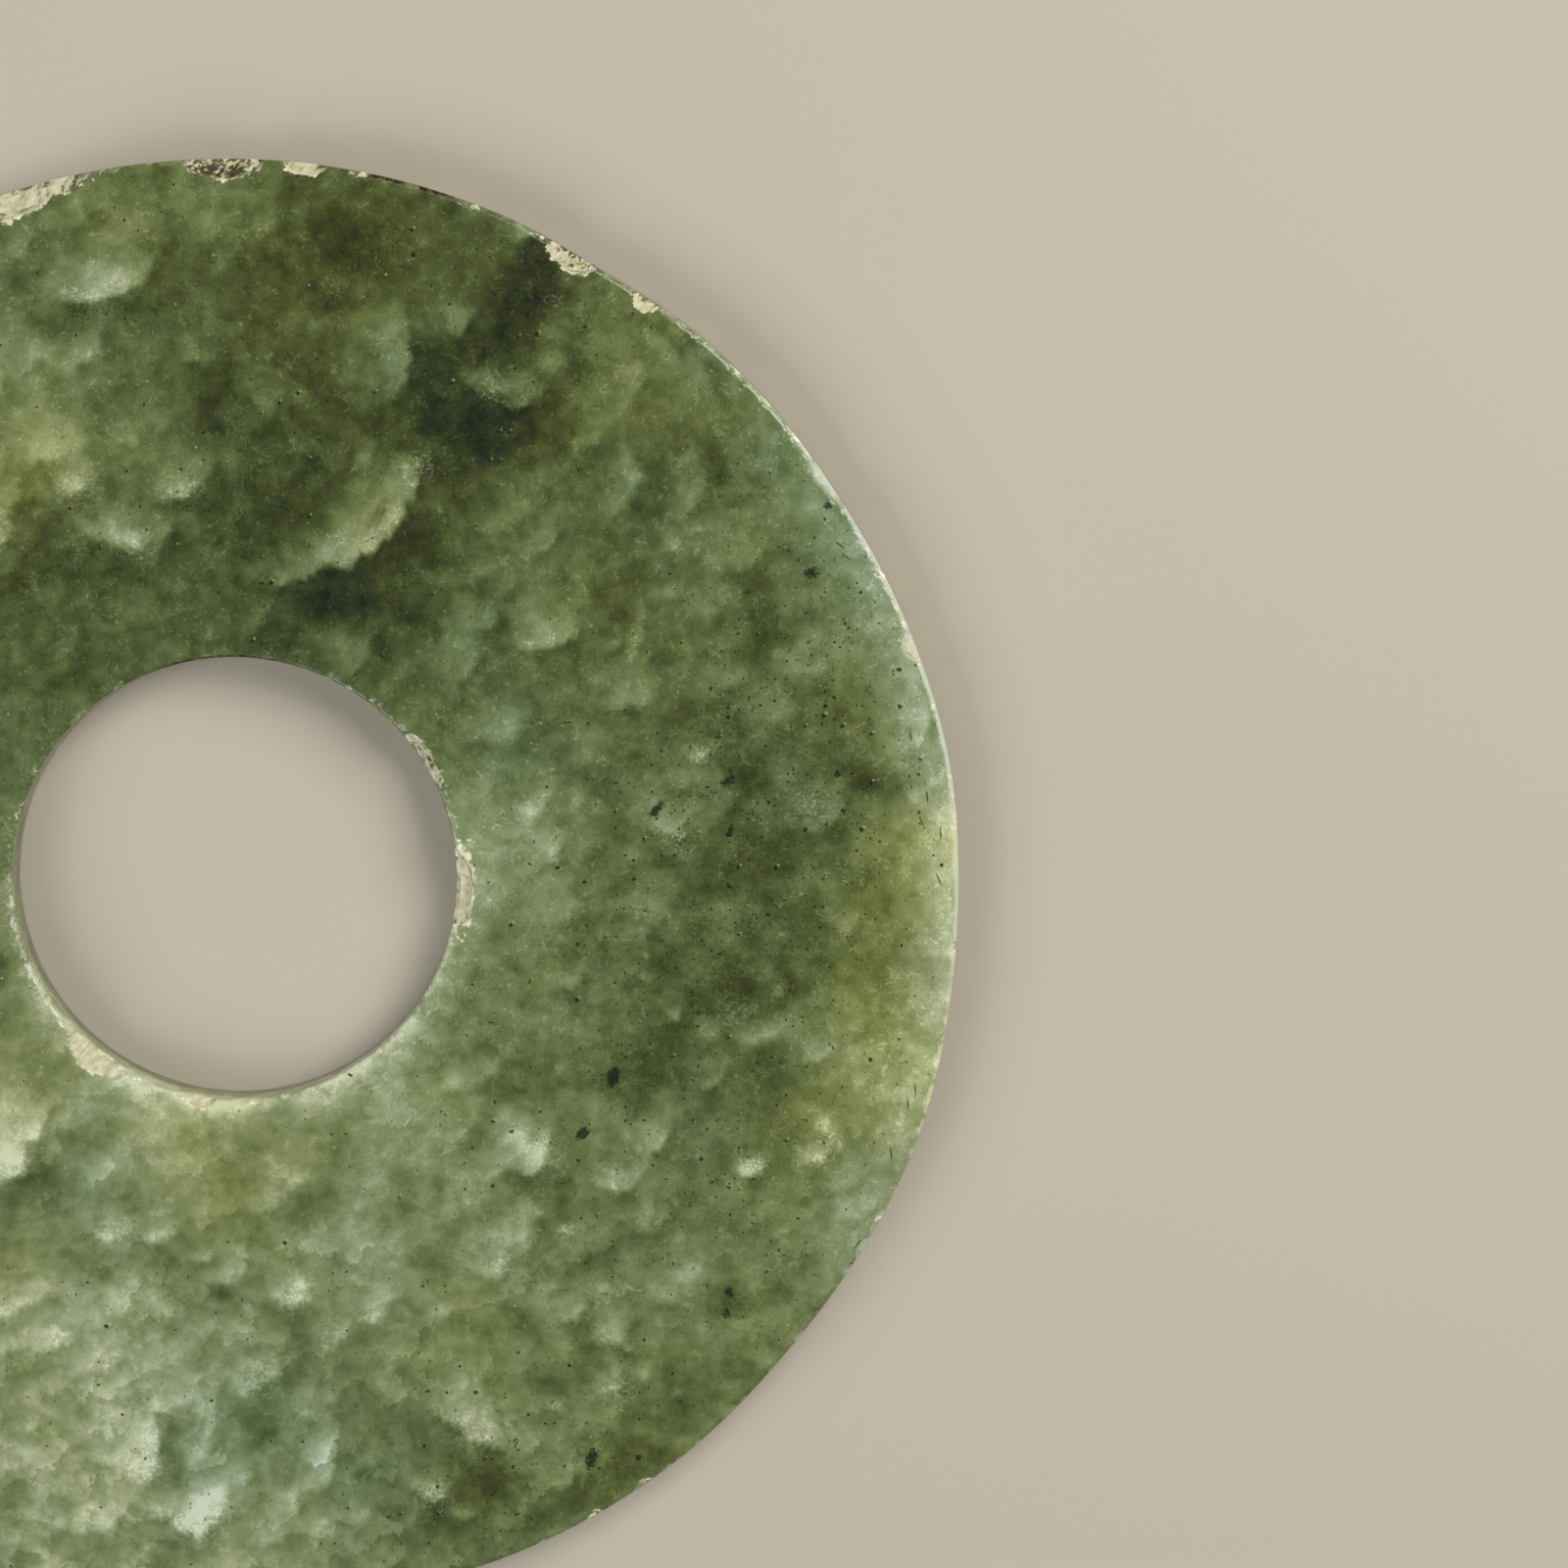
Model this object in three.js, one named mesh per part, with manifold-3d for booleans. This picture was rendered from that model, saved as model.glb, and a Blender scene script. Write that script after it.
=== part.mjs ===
// A bi disc: a flat ring of green jade, sawn from a slab and ground by hand.
// Its rim isn't quite round, its drilled hole isn't quite central, and its edges are chipped.
// It lies on its back face. Millimetres, +Z up, origin under the middle of the disc, on the back face.
import * as THREE from "three";
import { mergeVertices } from "three/addons/utils/BufferGeometryUtils.js";
import Module from "manifold-3d";

const wasm = await Module();
wasm.setup();

// Driving sizes
const RIM_RADIUS = 70; // mean radius of the rim
const THICKNESS = 6.5; // between the two flat faces
const RIM_ROUNDING = 0.5; // the worn edge between each face and the rim
const HOLE_RADIUS = 21.35; // where the hole meets the front face
const BACK_HOLE_RADIUS = 21.3; // where it meets the back face
const HOLE_WAIST_RADIUS = 21.15; // where the drillings from the two faces met
const HOLE_WAIST_HEIGHT = 2.5; // above the back face
const HOLE_ROUNDING = 0.3; // the worn edge round each mouth of the hole
const HOLE_OFFSET_X = 0.6; // the hole's axis from the middle of the rim
const HOLE_OFFSET_Y = 1.4;

// Fineness of the facets
const RIM_STEPS = 240;
const HOLE_STEPS = 96;
const ROUNDING_STEPS = 3;
const CHIP_STEPS = 14;

// Where the hand-ground rim stands outside its mean circle, or inside it where the rise is below 0.
// A bearing is in degrees from +X towards +Y, and a span is the half width of the swelling in degrees.
const RIM_SWELLINGS = [
  { bearing: 10, rise: 0.3, span: 8 },
  { bearing: 33, rise: -0.2, span: 7 },
  { bearing: 59, rise: -0.45, span: 6 },
  { bearing: 84, rise: 0.15, span: 12 },
  { bearing: 128, rise: -0.25, span: 12 },
  { bearing: 163, rise: 0.3, span: 14 },
  { bearing: 207, rise: -0.3, span: 12 },
  { bearing: 243, rise: 0.25, span: 13 },
  { bearing: 284, rise: -0.2, span: 12 },
  { bearing: 320, rise: -0.3, span: 9 },
  { bearing: 341, rise: 0.33, span: 8 },
];

// Chips out of the edges: how long each is along the edge, how far it reaches over the face, and how deep it goes.
const FRONT_RIM_CHIPS = [
  { bearing: 109, length: 26, reach: 2.3, depth: 1.5 },
  { bearing: 90, length: 8, reach: 1.9, depth: 1.6 },
  { bearing: 83.5, length: 4.4, reach: 1.2, depth: 1 },
  { bearing: 61.5, length: 5.5, reach: 1.6, depth: 1.4 },
  { bearing: 54.6, length: 2.6, reach: 1.4, depth: 0.8 },
  { bearing: 34.5, length: 6, reach: 0.9, depth: 1.1 },
  { bearing: 20, length: 3.6, reach: 1.1, depth: 0.9 },
  { bearing: 146, length: 5, reach: 1.5, depth: 1.2 },
  { bearing: 189, length: 7, reach: 1.3, depth: 1.3 },
  { bearing: 233, length: 3.5, reach: 1.2, depth: 0.9 },
  { bearing: 268, length: 6.5, reach: 1.4, depth: 1.2 },
];
const BACK_RIM_CHIPS = [
  { bearing: 72, length: 6, reach: 1.6, depth: 1.2 },
  { bearing: 171, length: 9, reach: 1.8, depth: 1.4 },
  { bearing: 301, length: 5, reach: 1.3, depth: 1 },
];
const FRONT_HOLE_CHIPS = [
  { bearing: 357, length: 7, reach: 1.5, depth: 1.1 },
  { bearing: 32, length: 7, reach: 1, depth: 1.1 },
  { bearing: 232, length: 6.5, reach: 2, depth: 1.3 },
  { bearing: 261, length: 2.8, reach: 1.1, depth: 0.8 },
];
const BACK_HOLE_CHIPS = [{ bearing: 118, length: 5, reach: 1.4, depth: 1.1 }];

// How far the rim stands from the middle of the disc at a bearing in radians.
function rimRadius(bearing) {
  let radius = RIM_RADIUS;
  for (const swelling of RIM_SWELLINGS) {
    const away = THREE.MathUtils.euclideanModulo(
      THREE.MathUtils.radToDeg(bearing) - swelling.bearing + 180,
      360,
    );
    radius += swelling.rise * Math.exp(-(((away - 180) / swelling.span) ** 2));
  }
  return radius;
}

// The disc's outline as a shape, drawn inside the rim by the width of its rounding, which the bevel adds again.
function rimOutline() {
  const points = [];
  for (let i = 0; i < RIM_STEPS; i++) {
    const bearing = (i / RIM_STEPS) * 2 * Math.PI;
    const radius = rimRadius(bearing) - RIM_ROUNDING;
    points.push(
      new THREE.Vector2(radius * Math.cos(bearing), radius * Math.sin(bearing)),
    );
  }
  return new THREE.Shape(points);
}

// A three.js geometry as a solid that can be joined and cut.
function solid(geometry) {
  const bare = geometry.clone();
  bare.deleteAttribute("normal");
  bare.deleteAttribute("uv");
  const merged = mergeVertices(bare);
  return new wasm.Manifold(
    new wasm.Mesh({
      numProp: 3,
      vertProperties: new Float32Array(merged.attributes.position.array),
      triVerts: new Uint32Array(merged.index.array),
    }),
  );
}

// The slab with its rounded rim, before it is drilled.
function blank() {
  const geometry = new THREE.ExtrudeGeometry(rimOutline(), {
    depth: THICKNESS - 2 * RIM_ROUNDING,
    bevelThickness: RIM_ROUNDING,
    bevelSize: RIM_ROUNDING,
    bevelSegments: ROUNDING_STEPS,
  });
  return solid(geometry.translate(0, 0, RIM_ROUNDING));
}

// A quarter round of the hole's mouth, from the wall out to a face or back. The face is at the given height.
function mouthRounding(radius, height, inward) {
  const points = [];
  for (let i = 0; i <= ROUNDING_STEPS; i++) {
    const turn = (i / ROUNDING_STEPS) * (Math.PI / 2);
    points.push(
      new THREE.Vector2(
        radius + HOLE_ROUNDING * (1 - Math.cos(turn)),
        height + inward * HOLE_ROUNDING * (1 - Math.sin(turn)),
      ),
    );
  }
  return points;
}

// The core that drilling took out: narrowest at the waist, and running past both faces.
function drilledCore() {
  const past = THICKNESS;
  const back = mouthRounding(BACK_HOLE_RADIUS, 0, 1).reverse();
  const front = mouthRounding(HOLE_RADIUS, THICKNESS, -1);
  const profile = [
    new THREE.Vector2(0, -past),
    new THREE.Vector2(back[0].x, -past),
    ...back,
    new THREE.Vector2(HOLE_WAIST_RADIUS, HOLE_WAIST_HEIGHT),
    ...front,
    new THREE.Vector2(front.at(-1).x, THICKNESS + past),
    new THREE.Vector2(0, THICKNESS + past),
  ];
  const core = new THREE.LatheGeometry(profile, HOLE_STEPS);
  core.rotateX(Math.PI / 2); // the lathe's axis, +Y, becomes +Z
  core.translate(HOLE_OFFSET_X, HOLE_OFFSET_Y, 0);
  return solid(core);
}

// The scoop that a chip leaves: half an ellipsoid, centred on the edge it broke from.
function chipScoop(chip, edgeRadius, height, centreX, centreY) {
  const bearing = THREE.MathUtils.degToRad(chip.bearing);
  const scoop = new THREE.SphereGeometry(1, CHIP_STEPS, CHIP_STEPS / 2);
  scoop.scale(chip.reach, chip.length / 2, chip.depth);
  scoop.rotateZ(bearing);
  scoop.translate(
    centreX + edgeRadius * Math.cos(bearing),
    centreY + edgeRadius * Math.sin(bearing),
    height,
  );
  return solid(scoop);
}

function rimScoops(chips, height) {
  return chips.map((chip) => {
    const edge = rimRadius(THREE.MathUtils.degToRad(chip.bearing));
    return chipScoop(chip, edge, height, 0, 0);
  });
}

function holeScoops(chips, edge, height) {
  return chips.map((chip) =>
    chipScoop(chip, edge, height, HOLE_OFFSET_X, HOLE_OFFSET_Y),
  );
}

// A joined and cut solid as a three.js geometry, moved so that the middle of its outline is over the origin.
function finishedGeometry(cutSolid) {
  const mesh = cutSolid.getMesh();
  const geometry = new THREE.BufferGeometry();
  geometry.setAttribute(
    "position",
    new THREE.BufferAttribute(mesh.vertProperties, 3),
  );
  geometry.setIndex(new THREE.BufferAttribute(mesh.triVerts, 1));
  geometry.computeBoundingBox();
  const middle = geometry.boundingBox.getCenter(new THREE.Vector3());
  geometry.translate(-middle.x, -middle.y, 0);
  geometry.computeVertexNormals();
  return geometry;
}

function biDisc() {
  let disc = blank().subtract(drilledCore());
  const scoops = [
    ...rimScoops(FRONT_RIM_CHIPS, THICKNESS),
    ...rimScoops(BACK_RIM_CHIPS, 0),
    ...holeScoops(FRONT_HOLE_CHIPS, HOLE_RADIUS, THICKNESS),
    ...holeScoops(BACK_HOLE_CHIPS, BACK_HOLE_RADIUS, 0),
  ];
  for (const scoop of scoops) disc = disc.subtract(scoop);
  const jade = new THREE.MeshStandardMaterial({
    name: "green jade",
    color: 0x6f8659,
    roughness: 0.35,
    metalness: 0,
  });
  const mesh = new THREE.Mesh(finishedGeometry(disc), jade);
  mesh.name = "bi_disc";
  return mesh;
}

const part = new THREE.Group();
part.add(biDisc());
export default part;
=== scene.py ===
"""A bi disc: a flat ring of mottled green jade with chipped, weathered edges, lying on a pale floor.

Sizes are in millimetres on the disc until a mesh is made. +X is right, +Y is up the picture, and +Z is
out of the front face. A bearing is in degrees from +X towards +Y, about the middle of the rim.
"""
import itertools
import math

import bpy
import numpy as np
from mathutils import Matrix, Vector


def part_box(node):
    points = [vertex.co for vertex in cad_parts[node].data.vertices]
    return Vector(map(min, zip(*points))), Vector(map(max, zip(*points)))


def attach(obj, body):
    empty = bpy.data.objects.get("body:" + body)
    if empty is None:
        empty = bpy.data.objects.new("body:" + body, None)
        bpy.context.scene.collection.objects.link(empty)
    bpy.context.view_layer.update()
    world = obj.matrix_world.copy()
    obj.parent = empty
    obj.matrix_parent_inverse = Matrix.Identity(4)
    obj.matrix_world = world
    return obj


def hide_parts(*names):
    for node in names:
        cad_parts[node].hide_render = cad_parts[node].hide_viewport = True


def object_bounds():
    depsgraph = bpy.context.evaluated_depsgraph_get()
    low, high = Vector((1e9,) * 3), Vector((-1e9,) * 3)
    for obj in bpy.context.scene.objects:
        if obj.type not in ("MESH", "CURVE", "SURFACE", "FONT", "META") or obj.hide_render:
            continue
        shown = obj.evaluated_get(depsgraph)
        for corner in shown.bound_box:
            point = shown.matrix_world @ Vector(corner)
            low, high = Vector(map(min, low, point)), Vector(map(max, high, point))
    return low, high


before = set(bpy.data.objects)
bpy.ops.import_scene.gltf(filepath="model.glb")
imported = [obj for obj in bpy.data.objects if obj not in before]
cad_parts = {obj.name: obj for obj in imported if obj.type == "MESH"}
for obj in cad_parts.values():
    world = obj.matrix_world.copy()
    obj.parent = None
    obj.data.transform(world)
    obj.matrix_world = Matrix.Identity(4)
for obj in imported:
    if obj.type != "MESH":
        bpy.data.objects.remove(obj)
cad_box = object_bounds()

MM = 0.001  # metres in a millimetre

# The disc, as its solid is made
RIM_RADIUS = 70
THICKNESS = 6.5
RIM_ROUNDING = 0.5
HOLE_RADIUS = 21.35
BACK_HOLE_RADIUS = 21.3
HOLE_WAIST_RADIUS = 21.15
HOLE_WAIST_HEIGHT = 2.5
HOLE_ROUNDING = 0.3
HOLE_MIDDLE = np.array([0.6, 1.4])
RIM_SWELLINGS = [  # bearing, rise of the rim in millimetres, half width in degrees
    (10, 0.3, 8), (33, -0.2, 7), (59, -0.45, 6), (84, 0.15, 12), (128, -0.25, 12), (163, 0.3, 14),
    (207, -0.3, 12), (243, 0.25, 13), (284, -0.2, 12), (320, -0.3, 9), (341, 0.33, 8),
]

# Chips out of the edges: bearing, length along the edge, reach over the face, depth, and how much cream
# weathering and how much brown soil each one holds
FRONT_RIM_CHIPS = [
    (109, 26, 2.3, 1.5, 1, 0.45), (90, 8, 1.9, 1.6, 0.7, 0.85), (83.5, 4.4, 1.2, 1, 1, 0.4),
    (61.5, 5.5, 1.6, 1.4, 0.8, 0.65), (54.6, 2.6, 1.4, 0.8, 1, 0), (34.5, 6, 0.9, 1.1, 0.1, 0),
    (20, 3.6, 1.1, 0.9, 0.25, 0.1), (146, 5, 1.5, 1.2, 0.8, 0.3), (189, 7, 1.3, 1.3, 0.6, 0.5),
    (233, 3.5, 1.2, 0.9, 0.7, 0.1), (268, 6.5, 1.4, 1.2, 0.6, 0.3),
]
BACK_RIM_CHIPS = [
    (72, 6, 1.6, 1.2, 0.7, 0.4), (171, 9, 1.8, 1.4, 0.8, 0.3), (301, 5, 1.3, 1, 0.6, 0.2),
]
FRONT_HOLE_CHIPS = [
    (357, 7, 1.5, 1.1, 1, 0), (32, 7, 1, 1.1, 0.8, 0.7), (232, 6.5, 2, 1.3, 1, 0),
    (261, 2.8, 1.1, 0.8, 1, 0),
]
BACK_HOLE_CHIPS = [(118, 5, 1.4, 1.1, 0.8, 0.2)]

# Pale clouds in the stone. A cloud is brightest along a crisp edge and fades behind it: x and y of that
# edge's middle, half its length, how far the cloud fades back, the direction that the edge faces, and how
# pale the cloud is
CLOUDS = [
    # upper left
    (-12.6, 56.4, 2.6, 2.6, -82, 0.62), (-9, 57.8, 2.8, 2.4, -62, 0.42), (-12.6, 51, 3.2, 2.4, -42, 0.34),
    (-17.4, 50.2, 2.6, 3, -55, 0.28), (-21.2, 48, 1.6, 2, -50, 0.45), (-2.7, 50.8, 1.5, 2.8, -75, 0.26),
    (-3.6, 38.4, 2.4, 3.2, -62, 0.42), (-16.2, 41.4, 2.2, 2.2, -82, 0.42),
    (-13.8, 38.6, 1.7, 2.8, -62, 0.48), (-2, 62.6, 3.4, 3.6, -60, 0.22), (-8.6, 62, 3, 4, -70, 0.2),
    (4, 63.6, 2.2, 2.8, -50, 0.2), (10.6, 54.2, 1.4, 2, -60, 0.2), (2.4, 48.4, 2.4, 2.2, -50, 0.16),
    (4.8, 46.4, 2.2, 2.6, -40, 0.18), (-11.4, 48.6, 1.2, 1.6, -50, 0.22),
    (13.8, 41.6, 1.3, 1.6, -45, 0.32), (-20.6, 36.4, 2.2, 3.2, -38, 0.36),
    (-20.9, 33.4, 2.2, 2.2, -34, 0.66), (-18, 35.9, 0.5, 0.8, -60, 0.5),
    (-12.4, 33.6, 1.9, 2.2, -118, 0.34), (-9.8, 32.6, 2.2, 2.6, -88, 0.44),
    (-8.2, 33.2, 0.7, 0.7, -70, 0.62), (-5.6, 33.8, 1.6, 2, -32, 0.34),
    (-20.4, 30.8, 1.6, 1.8, -50, 0.26), (-2.6, 34.4, 1.4, 1.8, -60, 0.22), (3, 25.6, 1.3, 1.4, -60, 0.26),
    (-16, 28.4, 1.6, 1.6, -60, 0.14), (-2, 27, 1.2, 1.6, -70, 0.14), (-8.8, 26.4, 1.6, 1.2, -60, 0.12),
    (-14, 64, 3, 2.4, -60, 0.18), (-20, 60.6, 2.2, 2.4, -60, 0.18), (7.6, 47, 1.6, 1.8, -50, 0.14),
    (-6.2, 44.6, 1.8, 2, -50, 0.16), (8, 42.4, 1.4, 1.4, -60, 0.14), (-9, 43.6, 0.8, 1.2, -60, 0.3),
    # the vein above the hole, from its cream body down to its thin left end
    (18.6, 39.2, 2, 3, -8, 0.52), (16.7, 35.2, 2, 3.6, -32, 0.58), (14.8, 32.6, 2.2, 3.2, -52, 0.6),
    (12, 31.4, 2.2, 2.8, -80, 0.5), (8.8, 30.9, 2.8, 2.2, -66, 0.46), (5.6, 29.6, 1, 1.2, -62, 0.46),
    # top right
    (22.6, 54.2, 2.2, 2.6, -55, 0.38), (17.9, 50.8, 3.2, 3.4, -14, 0.4),
    (16.6, 53.6, 1.8, 2.6, -30, 0.26), (27.6, 46.8, 2.2, 2.6, -86, 0.42),
    (25.2, 48, 1.8, 1.2, -100, 0.34), (21.6, 47.4, 1.3, 1.2, -84, 0.26), (24.2, 49, 2.4, 1.8, -80, 0.2),
    (32.6, 50.6, 1.5, 1.8, -60, 0.34), (31.6, 53.2, 1.3, 2, -60, 0.28), (36.2, 55.8, 0.8, 1, -60, 0.24),
    (29.2, 62.4, 1.2, 1.2, -60, 0.42), (39.4, 48.6, 3, 1.9, -12, 0.28), (35.4, 43, 1.8, 1.8, -50, 0.24),
    (39.2, 39.6, 3, 1.5, -10, 0.28), (20.6, 37, 0.7, 0.9, -60, 0.26), (18.9, 41, 0.8, 0.9, -50, 0.42),
    (31, 33.2, 2, 1.6, -46, 0.34), (28.6, 36.2, 3.2, 3.4, -50, 0.16), (43.2, 33.2, 1, 1, -60, 0.34),
    (45.3, 35, 0.7, 0.6, -60, 0.46), (45.5, 39.4, 4, 1.2, -8, 0.22), (42.6, 52.4, 3.4, 2.8, 38, 0.2),
    (46.4, 49.2, 3.2, 2.6, 36, 0.18), (35, 47.2, 2.4, 2.6, -60, 0.14), (22, 33.6, 2.2, 2.2, -50, 0.16),
    (24.8, 30.6, 2.2, 2, -50, 0.16), (34.4, 30.6, 1.8, 2, -60, 0.14),
    # right of the hole
    (13.8, 22.4, 2, 2.2, -40, 0.3), (25.4, 25.9, 1.4, 1.9, -42, 0.36), (23.4, 21.4, 1.8, 2, -42, 0.34),
    (31.6, 24, 2.6, 3.2, -60, 0.44), (27.4, 15.4, 1.9, 2.6, -50, 0.32), (37.4, 23.6, 0.5, 0.7, -70, 0.44),
    (39.9, 24.4, 2.8, 1, -14, 0.32), (38.6, 17.6, 2.2, 2.2, -84, 0.3), (42.2, 28.2, 1.3, 1.4, -60, 0.24),
    (40.8, 22.2, 0.8, 1, -60, 0.24), (50, 31.2, 2, 1.9, -50, 0.3), (48.8, 20.6, 1.2, 1.4, -60, 0.32),
    (45.4, 13.2, 0.8, 1.1, -60, 0.5), (30.3, 7.2, 2.2, 1.9, -40, 0.44), (31.6, 3.6, 1.3, 2.2, -54, 0.46),
    (40.6, 8.2, 1.3, 1.5, -70, 0.34), (42.4, 5.8, 1.6, 1.6, -80, 0.4), (43.2, 5, 0.6, 0.6, -80, 0.66),
    (33.2, 7.6, 1.6, 1.8, -50, 0.2), (24.8, 4.8, 1.8, 2.2, -60, 0.2), (53.4, 16.6, 1.9, 2.2, -60, 0.3),
    (55.6, 21, 1.8, 1.6, -60, 0.24), (48, 8, 1.8, 1.2, -45, 0.22), (57.8, 7, 1.7, 1.5, -50, 0.34),
    (66.9, 16.6, 2.4, 1.5, -8, 0.46), (60.4, 32.8, 1.1, 1, -60, 0.26), (34.6, 12.8, 1.8, 2, -60, 0.18),
    (28.8, 1.6, 2, 1.6, -50, 0.2), (46.2, 26.2, 1.6, 1.8, -60, 0.16), (36.4, 20.6, 1.2, 1.4, -60, 0.18),
    (60.8, 22.6, 2, 2, -40, 0.2), (58.4, 27.4, 1.8, 1.8, -60, 0.16), (44, 10.4, 1.6, 1.6, -60, 0.16),
    # lower right
    (32.4, -2.4, 1.9, 2.2, -60, 0.26), (32.6, -9, 1.9, 1.4, -78, 0.34), (32, -12.6, 1.2, 1.2, -60, 0.2),
    (42.9, -11.5, 0.9, 0.8, -50, 0.46), (41.2, -3.4, 1.9, 2.6, -50, 0.28), (48.3, -3, 1.2, 1.6, -60, 0.2),
    (52.4, -10.2, 0.4, 0.4, -80, 0.56), (24.6, -18.6, 3.4, 1.7, -52, 0.3),
    (22.4, -19.2, 1.7, 1.6, -60, 0.28), (30.9, -24.9, 1.5, 2.4, -22, 0.56),
    (29.3, -26.6, 1.8, 2.4, -74, 0.58), (27.8, -24.4, 1.6, 1.6, -60, 0.34),
    (23.2, -23.2, 2.4, 1.4, -52, 0.26), (25.8, -27.2, 2, 1.6, -60, 0.24),
    (41.8, -24.8, 1.6, 2, -46, 0.48), (32.6, -26.2, 1.1, 1.3, -50, 0.26),
    (37.6, -28.8, 1.7, 1.7, -78, 0.46), (39.4, -27.6, 1.1, 1.2, -50, 0.34),
    (29.4, -31, 0.9, 1.2, -60, 0.36), (27.6, -33.8, 2.2, 1.8, -52, 0.4), (32.5, -33, 0.7, 0.7, -70, 0.5),
    (43.7, -34.2, 0.6, 0.8, -60, 0.44), (41.6, -32.4, 1.6, 1.8, -58, 0.32),
    (46.4, -18.2, 2.2, 1.9, -50, 0.28), (45.8, -14, 1.6, 1.6, -60, 0.18),
    (51.6, -14.8, 1.8, 1.6, -70, 0.38), (50.3, -26.8, 0.9, 1.2, -70, 0.62),
    (51.5, -26, 0.5, 0.6, -70, 0.62), (22.6, -30, 0.9, 1.2, -60, 0.28),
    (57.6, -23.3, 0.8, 0.9, -60, 0.56), (58.3, -24.4, 0.9, 1.2, -60, 0.42), (57, -26, 0.9, 1.1, -66, 0.6),
    (58.9, -25.1, 0.5, 0.6, -60, 0.42), (56.7, -16, 1.2, 2.2, -60, 0.42), (60.8, -18, 1, 1.2, -60, 0.24),
    (64.4, -16.4, 0.6, 0.5, -60, 0.44), (59.6, -28, 1.2, 1.2, -50, 0.3),
    (61.6, -30.6, 1.8, 1.7, -56, 0.32), (55.9, -31, 1.1, 1.2, -60, 0.3),
    (52.4, -30.8, 1.1, 1.2, -60, 0.24), (53.6, -32.8, 1.1, 1.1, -60, 0.3),
    (45.4, -38, 1.5, 2.2, -50, 0.38), (60, -12.6, 1.9, 1.8, -60, 0.26), (59.8, -4.6, 1.7, 2, -50, 0.3),
    (44.8, -8.6, 1.4, 1.2, -60, 0.18), (26, -36.6, 1.3, 1.2, -64, 0.46),
    (28.8, -34.6, 1.1, 1.4, -40, 0.4), (33.1, -41.4, 1.5, 2.4, -58, 0.48),
    (36, -38.9, 0.4, 0.4, -70, 0.5), (37.3, -43.6, 1.4, 1.9, -60, 0.46),
    (38.3, -44.2, 0.4, 0.4, -60, 0.6), (36.9, -48.4, 0.9, 1.5, -50, 0.44),
    (32, -50.4, 0.4, 0.4, -60, 0.6), (42.4, -39, 1.8, 1.1, -84, 0.32), (44.6, -37, 1.5, 1.6, -50, 0.26),
    (40.1, -47, 0.7, 0.8, -60, 0.36), (43.8, -48.5, 0.4, 0.5, -60, 0.44),
    (36.6, -51.6, 1.3, 1.3, -60, 0.32), (28.8, -54, 1.7, 1.4, -60, 0.34),
    (33, -56.2, 0.9, 0.9, -60, 0.28), (31.9, -58, 1.2, 1.2, -60, 0.28), (36, -34.6, 2, 1.8, -60, 0.18),
    (47.6, -23.4, 1.8, 1.4, -60, 0.18), (36.6, -22.6, 2.2, 1.8, -60, 0.18),
    (48.4, -30.6, 1.8, 1.6, -60, 0.16), (49.6, -43, 2.4, 1.8, -45, 0.16),
    # below the hole and lower left
    (-19.9, -26.2, 2.6, 7, -32, 0.92), (-20.9, -27.6, 1.6, 5, -84, 0.9),
    (-18.2, -23.2, 2.2, 4.4, -52, 0.62), (-15.6, -26.8, 1.2, 1.5, -48, 0.3),
    (-13.6, -22.6, 1.9, 1.2, -60, 0.34), (-11.6, -33.6, 1.8, 1.6, -78, 0.54),
    (-6.6, -33.4, 1.5, 2, -70, 0.44), (-5.4, -32.2, 0.7, 1.2, -10, 0.34),
    (3.9, -29.8, 1.2, 1.4, -48, 0.42), (6.6, -28.2, 2, 2.4, -54, 0.38),
    (-2.6, -35.6, 0.8, 0.9, -70, 0.44), (1.4, -36.4, 1.9, 1.2, -22, 0.4),
    (-0.8, -37.8, 1.2, 1.4, -80, 0.3), (6.2, -39.7, 1.5, 2, -84, 0.56), (7.5, -38, 0.7, 0.8, -20, 0.46),
    (-20.8, -40.6, 1.9, 1.8, -80, 0.56), (-16.8, -43.8, 2, 2.2, -68, 0.54),
    (-21.4, -44.6, 2.8, 2.2, -68, 0.4), (-12.8, -41.8, 2.2, 1.8, -60, 0.26),
    (-11.4, -45.8, 1.7, 3, -52, 0.46), (-5.4, -45.3, 1.3, 1.2, -80, 0.34),
    (-8.2, -39.8, 1.9, 1.8, -60, 0.2), (-6.8, -50.9, 0.9, 2.4, -54, 0.58),
    (-4.6, -49.6, 2.2, 3.2, -64, 0.4), (-1.4, -49.4, 1.9, 2.6, -28, 0.46),
    (-9.8, -48.8, 2.2, 2.4, -70, 0.34), (-7.5, -53.8, 1.9, 2.8, -12, 0.72),
    (-8.6, -56.5, 1.2, 2.2, -66, 0.74), (-11.4, -52.4, 2.2, 2, -60, 0.36),
    (-12, -55.2, 1.3, 1.5, -70, 0.44), (-12, -50.7, 1.2, 1.1, -74, 0.42),
    (-18.9, -51.9, 1.3, 1.4, -60, 0.42), (-17.4, -58.2, 1.7, 2, -74, 0.44),
    (-12.8, -62, 2, 2.4, -66, 0.48), (-16.8, -62.2, 1.3, 1.8, -60, 0.42),
    (-6.7, -60.4, 1.2, 1.4, -70, 0.48), (-3, -61.8, 2, 2.4, -84, 0.78), (-1, -60.4, 1.2, 2.4, -42, 0.66),
    (-1.3, -58.9, 1.1, 1.2, -60, 0.48), (-1.8, -52.6, 3.2, 2.4, -14, 0.38),
    (2.4, -48, 1.9, 1.5, -54, 0.42), (9.9, -43.6, 1.2, 2.4, -48, 0.42), (10.6, -42.8, 1, 1.2, -70, 0.34),
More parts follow.
